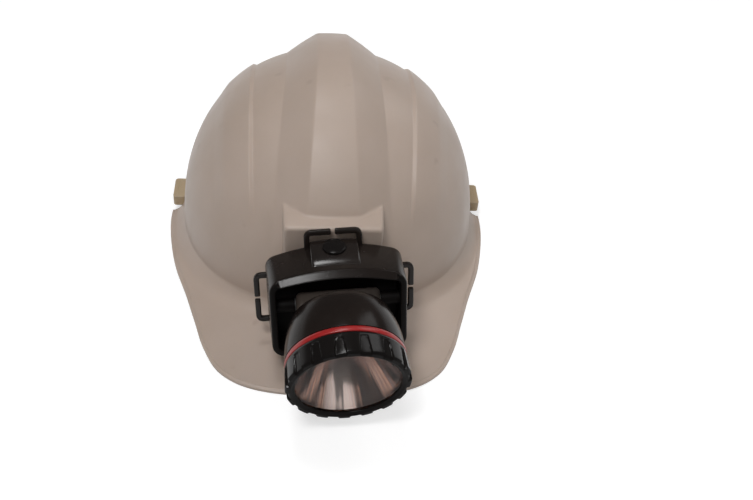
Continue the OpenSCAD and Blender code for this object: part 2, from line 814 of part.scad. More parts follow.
module head_hood() {
    steps = 14;
    t = 2.4;
    s_at = [for (k = [0 : steps]) hood_s[0] + 1 + (hood_s[1] - hood_s[0] - 1) * k / steps];
    color(gloss_black)
    beam_place()
    difference() {
        rotate_extrude($fn = 128)
            polygon(concat([[0, hood_s[0]], [hood_r(hood_s[0]) - 1.4, hood_s[0]],
                [hood_r(hood_s[0]) - 0.3, hood_s[0] + 0.4]], [for (s = s_at) [hood_r(s), s]],
                [[neck_r, hood_s[1]], [neck_r, neck_s], [neck_r - 1.6, neck_s],
                [neck_r - 1.6, hood_s[1] - 2]],
                [for (k = [steps - 1 : -1 : 2]) [hood_r(s_at[k]) - t, s_at[k]]],
                [[hood_r(s_at[2]) - t, hood_s[0] + t], [0, hood_s[0] + t]]));
        for (x = [-18, 18])
            translate([x, -beam_rise, hood_s[0] - 1]) cylinder(h = 5, r = screw_r + 0.1);
        translate([0, -beam_rise, hood_s[0] - 1]) cylinder(h = 5, r = 4);
    }
}

module hood_screws() {
    color(steel)
    head_place()
        for (x = [-18, 18])
            translate([x, 0, hood_s[0] + 2.4 + 1.4]) rotate([-90, 0, 0]) screw(2.2, 6);
}

module trim_ring() {
    color(trim_red)
    beam_place()
        rotate_extrude($fn = 128)
            polygon([[neck_r + 0.05, ring_s[0]], [ring_r - 0.5, ring_s[0]], [ring_r, ring_s[0] + 0.5],
                [ring_r + 0.3, ring_s[1] - 0.4], [ring_r, ring_s[1]], [neck_r + 0.05, ring_s[1]]]);
}

module heat_sink() {
    fins = 10;
    foot = hood_s[0] + 2.4;
    color([0.75, 0.76, 0.78])
    beam_place()
    difference() {
        union() {
            translate([0, 0, foot]) cylinder(h = 2, r = 14.5);
            translate([0, 0, foot]) cylinder(h = led_s - 3.4 - foot, r = 9);
            for (k = [0 : fins - 1])
                rotate([0, 0, 360 / fins * k + 18]) translate([8, -0.6, foot])
                    cube([6, 1.2, 7]);
        }
        translate([0, -beam_rise, foot - 1]) cylinder(h = 7, r = 2.5);
    }
}

module led_board() {
    color([0.88, 0.88, 0.85])
    beam_place()
        translate([0, 0, led_s - 3.4])
            linear_extrude(1.6)
                difference() {
                    circle(10);
                    for (k = [0 : 5])
                        rotate(60 * k) translate([10, 0]) circle(1.6);
                }
}

module led_chip() {
    color([0.95, 0.90, 0.55])
    beam_place()
        union() {
            translate([-1.75, -1.75, led_s - 1.8]) cube([3.5, 3.5, 0.9]);
            translate([0, 0, led_s - 0.9])
                rotate_extrude()
                    intersection() {
                        circle(1.6, $fn = 32);
                        square(2);
                    }
        }
}

// ---- Focus group ----

// Parabola of the reflector's inner face
mirror_front_r = 31.2;
function mirror_r(s) = mirror_front_r * sqrt((s - mirror_s[0]) / (mirror_s[1] - mirror_s[0]));

module reflector() {
    steps = 12;
    t = 1.2;
    rim = lens_s[0] - 0.05;
    throat = mirror_s[0] + 1.1;
    s_at = [for (k = [0 : steps]) throat + (mirror_s[1] - throat) * pow(k / steps, 1.6)];
    color([0.85, 0.86, 0.88])
    beam_place()
        rotate_extrude($fn = 128)
            polygon(concat([for (s = s_at) [mirror_r(s), s]],
                [[mirror_front_r, rim], [lens_r, rim], [lens_r, rim - 1.7]],
                [for (k = [steps - 1 : -1 : 0]) [mirror_r(s_at[k]) + t, s_at[k]]]));
}

module lens() {
    color([0.9, 0.95, 0.98, 0.35])
    beam_place()
        translate([0, 0, lens_s[0]]) cylinder(h = lens_s[1] - lens_s[0], r = lens_r, $fn = 128);
}

module lens_seal() {
    color([0.1, 0.1, 0.1])
    beam_place()
        rotate_extrude($fn = 128)
            translate([lens_r - 2, lens_s[1] + 0.05]) square([2, lip_s - lens_s[1] - 0.1]);
}

module bezel() {
    rear = bezel_r - 0.6;
    color(gloss_black)
    beam_place()
    difference() {
        rotate_extrude($fn = 128)
            polygon([[neck_r + running_fit, bezel_s[0]], [rear - 0.5, bezel_s[0]],
                [rear, bezel_s[0] + 0.6], [bezel_r, bezel_s[1] - 4],
                [bezel_r - 0.3, bezel_s[1] - 1], [bezel_r - 1.3, bezel_s[1]],
                [lens_opening_r + 2, bezel_s[1]],
                [lens_opening_r, lip_s + 0.5], [lens_opening_r, lip_s], [neck_r + running_fit, lip_s]]);
        for (k = [0 : bezel_notches - 1])
            rotate([0, 0, notch_turn + 360 / bezel_notches * k])
                translate([bezel_r - notch_depth, 0, notch_s]) rotate([0, -2.5, 0])
                    rotate([90, 0, 90])
                        linear_extrude(6)
                            polygon([[-notch_half[0], 0], [notch_half[0], 0], [notch_half[1], 15],
                                [-notch_half[1], 15]]);
    }
}

helmet_shell();
headband();
brow_pad();
crown_strap_left();
crown_strap_right();
harness_keys();
ratchet_housing();
ratchet_cover();
size_knob();
knob_screw();
lamp_housing();
back_cover();
cover_screws();
cap_hook();
hook_screws();
switch_pod();
switch_body();
button_spring();
switch_button();
battery_cell();
driver_board();
board_parts();
hinge_axle();
friction_washers();
tilt_block();
head_hood();
hood_screws();
trim_ring();
heat_sink();
led_board();
led_chip();
reflector();
lens();
lens_seal();
bezel();
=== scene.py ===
import json
import math

import bmesh
import bpy
import numpy as np
from mathutils import Matrix, Vector


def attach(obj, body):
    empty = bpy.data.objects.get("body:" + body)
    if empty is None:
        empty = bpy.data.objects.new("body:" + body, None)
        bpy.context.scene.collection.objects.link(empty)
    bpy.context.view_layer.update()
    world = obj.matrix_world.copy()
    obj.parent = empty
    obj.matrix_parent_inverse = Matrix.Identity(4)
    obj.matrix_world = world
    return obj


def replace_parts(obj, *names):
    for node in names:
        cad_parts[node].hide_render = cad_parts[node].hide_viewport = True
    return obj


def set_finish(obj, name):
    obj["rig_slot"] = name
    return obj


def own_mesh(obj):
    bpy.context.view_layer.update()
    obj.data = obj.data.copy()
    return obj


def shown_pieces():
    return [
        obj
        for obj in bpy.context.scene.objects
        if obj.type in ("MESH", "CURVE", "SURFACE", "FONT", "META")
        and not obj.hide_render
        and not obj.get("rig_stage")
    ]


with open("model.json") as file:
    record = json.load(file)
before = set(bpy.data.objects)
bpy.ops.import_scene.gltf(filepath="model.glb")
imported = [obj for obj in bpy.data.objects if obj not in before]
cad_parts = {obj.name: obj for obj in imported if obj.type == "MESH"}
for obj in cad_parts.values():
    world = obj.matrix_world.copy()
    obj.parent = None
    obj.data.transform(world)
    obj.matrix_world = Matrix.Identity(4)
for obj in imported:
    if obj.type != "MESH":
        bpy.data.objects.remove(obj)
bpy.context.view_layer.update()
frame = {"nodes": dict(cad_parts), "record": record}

# ---- dimensions
# Lengths are in millimetres, and become metres when a mesh is made. Angles are in degrees.
MM = 0.001

# Helmet shell, with the wearer facing -Y and the brim's lower edge at z = 0
DOME_SIDE = 108
DOME_FRONT = 110.5
DOME_REAR = 127
DOME_HEIGHT = 117.5
BASE_Z = 15
WALL = 3
PLAN_POWER = 1.94
SIDE_POWER = 2.16
RIDGE_HEIGHT = 11
RIDGE_FLAT = 11
RIDGE_WIDENING = 10
RIDGE_FLANK = 22
RIDGE_ENDS = (73, 88, 22)
SIDE_RIDGE_HEIGHT = 2.2
SIDE_RIDGE_X = (55.6, 58.2, 76, 83)
SIDE_RIDGE_CLOSING = 4
SIDE_RIDGE_ENDS = (62, 72, 16)
EDGE_Z = 3.2
BRIM_THICKNESS = 2.6
BRIM_FILLET = 9
REAR_FLANGE = 4
BRIM_END = 93.4
BRIM_REACH = ((0, 176), (17, 178), (25, 173), (32, 160), (40, 144.5), (50, 132), (62, 125),
              (76, 120.5), (97, 119.5))

# Lamp boss on the shell's front, and the bracket pocket on the boss. A sleeve is given as its
# outer and inner section, each (low corner, high corner, corner radius), and its heights.
BOSS_TOP = 86.5
BOSS_FRONT = 109.8
BOSS_HALF = (32.2, 34.2)
BOSS_BACK = 79
BOSS_ROUND = 3
BOSS_SEARCH = 60
POCKET = (((-16, -118.8), (16, -108), 1.5), ((-13.5, -116.6), (13.5, -112.8), 0.4), (29, 45))

# Accessory slots at the shell's sides
SLOT = (((104, 6.5), (118.3, 29), 2), ((109.6, 8.7), (114.8, 26.8), 0.3), (7, 16))
SLOT_CAP = (0.25, 1.3)
OVERLAP = 0.4

# Head harness
STRAP_ANGLE = 40
STRAP_WIDTH = 20
STRAP_THICKNESS = 1.2
STRAP_FOOT_Z = 18
STRAP_TOP_Z = 104
STRAP_POWER = 2.6
BOX_STITCH = (6, 24, 7.5)
STITCH = (2.2, 0.28)
KEY_PLATE = 11
KEY_SOCKET = (((-6, -10.5), (0.8, 10.5), 1), ((-5.2, -8.5), (-2.4, 8.5), 0.3), (9, 24))
BAND_R = 78
BAND_Y = 4
BAND_OFFSET = 20
BAND_Z = 8
BAND_H = 24
PAD_THICKNESS = 0.8
PAD_CROWN = 1.5
PAD_OVERHANG = 4
PAD_ARC = 136
PAD_SEAM = 0.87
PAD_SWELL = 1.1

# Lamp, whose frame has its origin at the middle of the housing's back face. A depth is a
# distance in front of that face, and heights are from its middle.
LAMP_POS = (1.9, -121.2, 43.8)
LAMP_LEAN = 13
LAMP_YAW = 4
LAMP_ROLL = 2.7
HEAD_TILT = 22.6
PIVOT = Vector((0, -24.6, 6))
HOUSING_HALF = 44.4
HOUSING_Z = (-28, 29)
ARCH_RISE = 5.6
CORNER_R = 8
DRAFT = (1.1, 0.9, 1.3)
HOUSING_DEPTH = 34.4
CASE_WALL = 2.2
FRAME_WALL = 4
FLOOR_DEPTHS = (12.5, 14.5)
CHAMFER_HALF = 37.6
CUT_OUT = (33, 17, -14.9)
EAR = (27.4, 41, 4.4)
AXLE_HOLE_R = 1.52
POST = (36, 18, 3.2)
SCREW_HOLE_R = 1.15
LOOP_BAR = 3.2
LOOP_DEPTH = 3
LOOP_GAP = 2.5
SIDE_LOOP = (52.3, -19.2, 17.2)
TOP_LOOP = (18.5, 45.8)
POD_HALF = 15.4
POD_SIDE = ((3, 30), (25.3, 30), (25.3, 33), (20.3, 35.92), (3, 39.92))
POD_CROWN = 0.6
POD_SEAT = (3.5, 23.6, 30)
POD_TOP = (0, -11.3, 38)
POD_LEAN = 13
BUTTON_R = 7.25
SPRING_Z = (-6.15, -3.25)
SPRING_R = (2.9, 0.28)
BLOCK_HALF = (26.7, 9.5)
BLOCK_S = (-4, 16.7)

# Lamp head, along the beam's axis, which passes above the tilt pivot
BEAM_RISE = 5
HOOD_S = (16.7, 46.7)
HOOD_R = (30.2, 36.9)
NECK_R = 35.2
NECK_S = 56.5
RING_S = (46.75, 50.7)
RING_R = 37.3
BEZEL_S = (51, 66.5)
BEZEL_R = 38
BEZEL_NOTCHES = 16
NOTCH_TURN = 8
NOTCH_S = 53.4
NOTCH_HALF = (2.2, 3.7)
NOTCH_DEPTH = (0.85, 1.6)
LIP_S = 63.4
LENS_S = (60.55, 62.5)
LENS_R = 34.6
LENS_OPENING_R = 31.9
MIRROR_S = (30.4, 60.4)
MIRROR_R = 34.1

# Light levels
FLOOR_SIZE = 3.0
FLOOR_GLOW = 0.62
WORLD_LIGHT = 0.2
CEILING = 0.12
AIM = (0, -0.1, 0.07)

# Camera, fitted to the helmet's outline
IMAGE_WIDTH = 753
FOCAL_PX = 1000
SENSOR = 36
CAMERA_POS = (-23.8753, -594.4433, 505.4163)
CAMERA_AXES = ((0.99663, -0.01737, -0.08018),
               (-0.04791, 0.67014, -0.74069),
               (0.06660, 0.74203, 0.66705))

# Where pieces belong: (body, material slot)
SHELL = ("helmet", "shell_plastic")
CASE = ("lamp", "case_plastic")
SIDES = ((1, "left"), (-1, "right"))

scene = bpy.context.scene


# ---- helpers
def shade_smooth(mesh, sharp):
    """Smooth shading, except at edges sharper than an angle."""
    mesh.polygons.foreach_set("use_smooth", [True] * len(mesh.polygons))
    mesh.update()
    mesh.set_sharp_from_angle(angle=math.radians(sharp))


def add_object(name, data):
    made = bpy.data.objects.new(name, data)
    scene.collection.objects.link(made)
    return made


def piece(name, points, faces, home, sharp=35):
    """A mesh that rides on a body and stands in a material slot."""
    body, slot = home
    mesh = bpy.data.meshes.new(name)
    mesh.from_pydata((np.asarray(points, float) * MM).tolist(), [], faces)
    shade_smooth(mesh, sharp)
    made = add_object(name, mesh)
    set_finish(made, slot)
    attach(made, body)
    return made


def grid_faces(rows, columns, start=0, flip=False, closed=False):
    """Quads between the rows of a grid of points."""
    faces = []
    for i in range(rows - 1):
        for j in range(columns if closed else columns - 1):
            a, b = (start + i * columns + k for k in (j, (j + 1) % columns))
            quad = (a, b, b + columns, a + columns)
            faces.append(quad[::-1] if flip else quad)
    return faces


def tube_faces(rows, columns, start=0, flip=False):
    """The wall of a tube round a grid of points, and a face at each end."""
    way = -1 if flip else 1
    first, last = (range(start + row * columns, start + (row + 1) * columns)
                   for row in (0, rows - 1))
    return (grid_faces(rows, columns, start, flip, closed=True)
            + [tuple(first[::-way]), tuple(last[::way])])


def placed(points, matrix):
    """Points, in lists of any depth, moved by a matrix."""
    m = np.array(matrix)
    return np.asarray(points, float).reshape(-1, 3) @ m[:3, :3].T + m[:3, 3]


def turned(angle, axis):
    return Matrix.Rotation(math.radians(angle), 4, axis)


def unit(v):
    """Each row of an array scaled to length 1."""
    return v / np.linalg.norm(v, axis=1)[:, None]


def along(path):
    """Directions along a path in a plane, and square to it."""
    run = unit(np.gradient(path, axis=0))
    return run, np.stack([-run[:, 1], run[:, 0]], 1)


def soft_min(a, b, r):
    h = np.clip(0.5 + 0.5 * (b - a) / r, 0, 1)
    return b * (1 - h) + a * h - r * h * (1 - h)


def soft_max(a, b, r):
    return -soft_min(-a, -b, r)


def smooth(v):
    v = np.clip(v, 0, 1)
    return v * v * (3 - 2 * v)


LAMP = Matrix.Translation(LAMP_POS) @ (turned(LAMP_YAW, "Z") @ turned(-LAMP_LEAN, "X")
                                       @ turned(-LAMP_ROLL, "Y"))
# The head's +Z runs along the beam from the tilt pivot, and its +Y is up
HEAD = LAMP @ Matrix.Translation(PIVOT) @ turned(90 + HEAD_TILT, "X")
BEAM = HEAD @ Matrix.Translation((0, BEAM_RISE, 0))
POD = LAMP @ Matrix.Translation(POD_TOP) @ turned(POD_LEAN, "X")
MIRRORED = Matrix.Scale(-1, 4, (1, 0, 0))


# ---- helmet shell
def oval_r(a, across, ahead, power):
    """Radius of a superellipse at an angle, in radians, from its half axis ahead."""
    return ((np.abs(np.sin(a)) / across) ** power
            + (np.abs(np.cos(a)) / ahead) ** power) ** (-1 / power)


def section_r(b, t):
    return oval_r(b, np.where(b < 0, DOME_FRONT, DOME_REAR) - t, DOME_HEIGHT - t, PLAN_POWER)


def rim_r(deg):
    """Reach of the dome's base at an angle from the front."""
    a = math.radians(deg)
    return oval_r(a, DOME_SIDE, DOME_FRONT if math.cos(a) > 0 else DOME_REAR, SIDE_POWER)


def narrowing(x):
    return np.maximum(0, 1 - (np.abs(x) / DOME_SIDE) ** SIDE_POWER) ** (1 / SIDE_POWER)


def run_out(deg, ends):
    """1 along a ridge, falling to 0 at its ends, which are (front angle, rear angle, length)."""
    front, rear, length = ends
    return smooth(np.where(deg < 0, deg + front, rear - deg) / length)


def ridges(x, b):
    """Height of the centre ridge and of the side ridges, with softly rounded edges."""
    deg = np.degrees(b)
    half = RIDGE_FLAT + RIDGE_WIDENING * np.clip(-deg / 90, 0, 1)
    flank = (half + RIDGE_FLANK - np.abs(x)) / RIDGE_FLANK
    centre = soft_min(1, soft_max(0, flank, 0.035), 0.025)
    out = np.abs(x) + SIDE_RIDGE_CLOSING * np.clip(-deg / 70, 0, 1)
    x0, x1, x2, x3 = SIDE_RIDGE_X
    side = soft_min((out - x0) / (x1 - x0), (x3 - out) / (x3 - x2), 0.08)
    side = soft_min(1, soft_max(0, side, 0.08), 0.08)
    return (RIDGE_HEIGHT * run_out(deg, RIDGE_ENDS) * centre
            + SIDE_RIDGE_HEIGHT * run_out(deg, SIDE_RIDGE_ENDS) * side)


def boss_excess(x, y, z, t):
    """Distance outside the lamp boss, t inside its surface; negative within."""
    draft = (BOSS_HALF[1] - BOSS_HALF[0]) / (BOSS_FRONT - BOSS_BACK)
    side = np.abs(x) - (BOSS_HALF[1] - t) + draft * (-y - BOSS_BACK)
    front = -y - (BOSS_FRONT - t)
    top = z - (BOSS_TOP - t)
    rounding = max(BOSS_ROUND - t, 0.8)
    return soft_max(soft_max(front, top, rounding), side, rounding)


def skin_radius(x, b, t):
    """Distance from the side-to-side axis to the shell's surface on station x at angle b."""
    dome = section_r(b, t) * narrowing(x) + ridges(x, b)
    low, high = dome, dome + BOSS_SEARCH
    for _ in range(26):
        mid = (low + high) / 2
        out = boss_excess(x, mid * np.sin(b), BASE_Z + mid * np.cos(b), t)
        low = np.where(out < 0, mid, low)
        high = np.where(out < 0, high, mid)
    boss = np.where(b < 0, low, dome)
    return soft_max(dome, boss, 1.2) - 0.3 * (np.abs(boss - dome) < 1e-3)


def skin(stations, angles, t):
    x, b = np.meshgrid(stations, angles, indexing="ij")
    rho = skin_radius(x, b, t)
    shrink = (DOME_SIDE - t) / DOME_SIDE
    return np.stack([x * shrink, rho * np.sin(b), BASE_Z + rho * np.cos(b)], -1)


def spread(*stops):
    """Values from stop to stop, where each stop is (value, step up to the next stop)."""
    out = []
    for (a, step), (b, _) in zip(stops, stops[1:]):
        n = max(1, round((b - a) / step))
        out += [a + (b - a) * k / n for k in range(n)]
    return np.array(out + [stops[-1][0]])


def hermite(table, v):
    """Smooth curve through a table of (angle, reach) pairs."""
    xs, ys = np.array(table, float).T
    # The slope at an entry is the one between its neighbours, and 0 at the front
    gap_x, gap_y = (np.append(line[2:], line[-1]) - line[:-1] for line in (xs, ys))
    slopes = np.append(0, gap_y / gap_x)
    i = int(min(np.searchsorted(xs, v, side="right") - 1, len(xs) - 2))
    h = xs[i + 1] - xs[i]
    s = (v - xs[i]) / h
    return ((2 * s ** 3 - 3 * s ** 2 + 1) * ys[i] + (s ** 3 - 2 * s ** 2 + s) * h * slopes[i]
            + (3 * s ** 2 - 2 * s ** 3) * ys[i + 1] + (s ** 3 - s ** 2) * h * slopes[i + 1])


def brim_z(d, w):
    d = np.minimum(1, d / w), np.minimum(1, d / min(BRIM_FILLET, w))
    return EDGE_Z + (BASE_Z - EDGE_Z) * (0.5 * (1 - d[0]) ** 1.4 + 0.5 * (1 - d[1]) ** 2)


def brim_profile(w):
    """Round the brim: over the top, down the edge bead, and back underneath."""
    flat = w - min(2.6, 0.45 * w)
    out = [(f * flat, float(brim_z(f * flat, flat))) for f in np.linspace(0, 1, 19)[1:] ** 1.35]
    out += [(flat + 0.25, EDGE_Z - 0.35), (flat + 0.7, EDGE_Z - 0.75), (w - 0.7, EDGE_Z - 0.8),
            (w - 0.25, EDGE_Z - 1.0), (w - 0.05, EDGE_Z - 1.5), (w, 1.0), (w, 0.35), (w - 0.3, 0),
            (flat - 0.1, 0), (flat - 0.5, 0.2)]
    for f in np.linspace(1, 0, 15)[1:-1] ** 1.2:
        d = f * flat
        z = float(brim_z(d, flat))
        fall = math.atan((z - float(brim_z(d + 0.01, flat))) / 0.01)
        out.append((d - BRIM_THICKNESS * math.sin(fall), z - BRIM_THICKNESS * math.cos(fall)))
    return out


def helmet_shell():
    half = spread((0, 2.2), (9, 1.0), (23, 2.5), (29, 1.0), (31, 0.25), (35.5, 1.2), (44, 2.0),
                  (50, 0.5), (60, 2.5), (74, 0.9), (86, 2.5), (94, 1.6), (103, 0.8), (107.6, 1))
    # Close stations at the sides, two of which bracket the square end of the brim
    half = np.concatenate([half, [107.75, 107.86, 107.9155, 107.927, 107.97, 107.993]])
    stations = np.concatenate([-half[:0:-1], half])
    angles = np.radians(spread((-90, 1.5), (-74, 0.75), (-61, 0.25), (-56, 0.6), (-30, 1.5),
                               (0, 1.8), (90, 1)))
    n, m = len(stations), len(angles)
    count = n * m + 2
    points, faces = [], []
    for t, start, flip in ((0, 0, True), (WALL, count, False)):
        points += [skin(stations, angles, t).reshape(-1, 3),
                   np.array([[s * (DOME_SIDE - t), 0, BASE_Z] for s in (-1, 1)])]
        faces += grid_faces(n, m, start, flip)
        for pole, row in ((start + n * m, 0), (start + n * m + 1, n - 1)):
            for j in range(start + row * m, start + row * m + m - 1):
                faces.append((pole, j, j + 1) if (row == 0) == flip else (j + 1, j, pole))

    rim = [n * m] + [i * m for i in range(n)] + [n * m + 1]
    rim += [i * m + m - 1 for i in range(n - 1, -1, -1)]
    base = np.concatenate(points[:2])
    brim = []
    for x, y, _ in base[rim]:
        r = math.hypot(x, y)
        deg = math.degrees(math.acos(max(-1, min(1, -y / r))))
        reach = hermite(BRIM_REACH, deg) if deg <= BRIM_END else rim_r(deg) + REAR_FLANGE
        brim.append([(x / r * (r + d), y / r * (r + d), z) for d, z in brim_profile(reach - r)])
    points.append(np.array(brim).reshape(-1, 3))
    steps = len(brim[0])
    # From the outer skin's base round the brim to the inner skin's base, at each rim point
    ids = [(v, *range(2 * count + k * steps, 2 * count + (k + 1) * steps), count + v)
           for k, v in enumerate(rim)]
    for row, after in zip(ids, ids[1:] + ids[:1]):
        faces += [(row[p], row[p + 1], after[p + 1], after[p]) for p in range(steps + 1)]
    shell = piece("shell", np.concatenate(points), faces, SHELL, 50)
    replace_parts(shell, "helmet_shell")


def arc(x, y, r, start, end, steps):
    turns = [math.radians(start + (end - start) * k / steps) for k in range(steps + 1)]
    return [(x + r * math.cos(t), y + r * math.sin(t)) for t in turns]


def rounded_rectangle(x0, y0, x1, y1, r, steps=5):
    corners = (x1 - r, y1 - r), (x0 + r, y1 - r), (x0 + r, y0 + r), (x1 - r, y0 + r)
    return [p for k, (x, y) in enumerate(corners)
            for p in arc(x, y, r, 90 * k, 90 * k + 90, steps)]


def sleeve(name, outer, inner, z, place=Matrix.Identity(4), edge=0.5):
    """A tube of rectangular section on the shell, with rounded rims, open at both ends."""
    levels = ((z[0], edge), (z[0] + edge, 0), (z[1] - edge, 0), (z[1], edge))
    rings = []
    for ((x0, y0), (x1, y1), r), way in ((outer, -1), (inner, 1)):
        for height, inset in levels[::-way]:
            k = way * inset
            rings.append([(x, y, height) for x, y in
                          rounded_rectangle(x0 - k, y0 - k, x1 + k, y1 + k, r)])
    faces = grid_faces(len(rings) + 1, len(rings[0]), flip=place.is_negative, closed=True)
    made = piece(name, placed(rings + rings[:1], place), faces, SHELL)
    modifier(made, "WELD", merge_threshold=1e-6)
    return made


def shell_fittings():
    sleeve("bracket_pocket", *POCKET)
    thin = shell_material("shell_thin", (186, 167, 139), (176, 156, 127), 0.3)
    ((x0, _), (x1, y1), _), ((gap0, front), (gap1, rear), _), (z0, z1) = SLOT
    for side, word in SIDES:
        mirror = Matrix.Identity(4) if side > 0 else MIRRORED
        stop = (side * (x0 + 1.5), y1 - 2.65, 0.8), (side * (x1 - 0.2), y1, z0 + 1)
        cap = ((side * (gap0 - OVERLAP), front - OVERLAP, z1 - SLOT_CAP[1]),
               (side * (gap1 + OVERLAP), rear + OVERLAP, z1 - SLOT_CAP[0]))
        for tab in (sleeve("accessory_slot_" + word, *SLOT, mirror),
                    block("slot_stop_" + word, *stop, SHELL, bevel=0.5, steps=3),
                    block("slot_cap_" + word, *cap, SHELL)):
            tab.data.materials.append(thin)
        for angle, end in ((STRAP_ANGLE, "front"), (180 - STRAP_ANGLE, "rear")):
            # A key's frame has +X pointing outwards from the shell's inner wall
            key = turned(angle - 90, "Z") @ Matrix.Translation((rim_r(angle) - WALL, 0, 0))
            sleeve(f"key_socket_{end}_{word}", *KEY_SOCKET, mirror @ key, edge=0.3)


# ---- forms
def fillet(corners, steps=4):
    """A polygon or path of (x, y, radius) corners, rounded where the radius isn't 0."""
    out = []
    n = len(corners)
    for i, (x, y, r) in enumerate(corners):
        if r == 0:
            out.append((x, y))
            continue
        p = Vector((x, y))
        a, b = (Vector(corners[k % n][:2]) - p for k in (i - 1, i + 1))
        half = a.angle(b) / 2
        reach = min(r / math.tan(half), 0.48 * a.length, 0.48 * b.length)
        start, end = p + a.normalized() * reach, p + b.normalized() * reach
        for k in range(steps + 1):
            f = k / steps
            out.append(tuple(start * (1 - f) ** 2 + p * 2 * f * (1 - f) + end * f * f))
    return out


def lathe(name, profile, home, place, turn=128, cut=None):
    """Turns a closed profile of (radius, height) round the frame's Z axis. turn is the number of
    even steps, or their angles in radians. cut, where given, changes a radius at a height and
    angle."""
    radius, height = np.array(profile, float).T[:, :, None]
    if isinstance(turn, int):
        turn = np.arange(turn) * 2 * math.pi / turn
    if cut:
        radius = cut(radius, height, turn)
    points = np.stack([radius * np.cos(turn), radius * np.sin(turn), height + 0 * turn], -1)
    rows, columns = len(profile), len(turn)
    faces = [tuple(v % (rows * columns) for v in face)
             for face in grid_faces(rows + 1, columns, closed=True)]
    made = piece(name, placed(points, place), faces, home)
    clean(made)
    return made


def clean(made, sharp=40):
    """Welds doubled points, drops faces without area and turns every face outwards."""
    work = bmesh.new()
    work.from_mesh(made.data)
    bmesh.ops.remove_doubles(work, verts=work.verts, dist=1e-6)
    bmesh.ops.dissolve_degenerate(work, edges=work.edges, dist=1e-7)
    bmesh.ops.recalc_face_normals(work, faces=work.faces)
    work.to_mesh(made.data)
    work.free()
    shade_smooth(made.data, sharp)


def merge(name, parts, sharp):
    """Joins pieces of one body and slot into one mesh."""
    mesh = bmesh.new()
    for part in parts:
        mesh.from_mesh(part.data)
    first = parts[0]
    mesh.to_mesh(first.data)
    mesh.free()
    for part in parts[1:]:
        bpy.data.objects.remove(part)
    first.name = first.data.name = name
    clean(first, sharp)
    return first


def modifier(made, kind, **settings):
    new = made.modifiers.new(kind.lower(), kind)
    for key, value in settings.items():
        setattr(new, key, value)
    return new


def apply_modifiers(made):
    graph = bpy.context.evaluated_depsgraph_get()
    graph.update()
    mesh = bpy.data.meshes.new_from_object(made.evaluated_get(graph))
    made.modifiers.clear()
    old, made.data = made.data, mesh
    bpy.data.meshes.remove(old)
    mesh.name = made.name


def carve(made, cutter):
    """Takes the cutter's space out of a piece."""
    modifier(made, "BOOLEAN", operation="DIFFERENCE", solver="EXACT", object=cutter)
    apply_modifiers(made)
    bpy.data.objects.remove(cutter)


def block(name, low, high, home, place=Matrix.Identity(4), bevel=0, steps=4):
    """A block between two corners, with rounded edges where bevel isn't 0."""
    points = [(x, y, z) for x in sorted((low[0], high[0])) for y in (low[1], high[1])
              for z in (low[2], high[2])]
    faces = [(0, 1, 3, 2), (4, 6, 7, 5), (0, 4, 5, 1), (2, 3, 7, 6), (0, 2, 6, 4), (1, 5, 7, 3)]
    made = piece(name, placed(points, place), faces, home)
    if bevel:
        round_edges(made, bevel, steps)
    return made


def round_edges(made, width, steps):
    modifier(made, "BEVEL", width=width * MM, segments=steps, limit_method="ANGLE",
             angle_limit=math.radians(30), harden_normals=False)
    apply_modifiers(made)
    clean(made)


def vertices(made):
    out = np.empty(len(made.data.vertices) * 3)
    made.data.vertices.foreach_get("co", out)
    return out.reshape(-1, 3)


def set_uv(made, values):
    """Gives each vertex its own texture coordinates."""
    corners = np.empty(len(made.data.loops), int)
    made.data.loops.foreach_get("vertex_index", corners)
    layer = made.data.uv_layers.new(name="UVMap")
    layer.data.foreach_set("uv", np.asarray(values, float)[corners].ravel())


# ---- lamp housing
def housing_loop(draft):
    """Front outline of the housing as (x, z) points, from its back at 0 to its front at 1."""
    half = HOUSING_HALF - DRAFT[0] * draft
    low, top = HOUSING_Z[0] + DRAFT[1] * draft, HOUSING_Z[1] - DRAFT[1] * draft
    rise = ARCH_RISE - DRAFT[2] * draft
    a, r = half - CORNER_R, CORNER_R
    reach = (a * a + rise * rise) / (2 * rise)
    lean = math.degrees(math.asin(a / reach))
    right = [(0, low), (12, low), (24, low)] + arc(a, low + r, r, -90, 0, 8)
    right += [(half, low + r + (top - low - 2 * r) * k / 8) for k in range(1, 8)]
    right += arc(a, top - r, r, 0, 90 - lean, 8)
    right += arc(0, top + rise - reach - r, reach + r, 90 - lean, 90, 40)[1:]
    return np.array(right + [(-x, z) for x, z in right[-2:0:-1]])


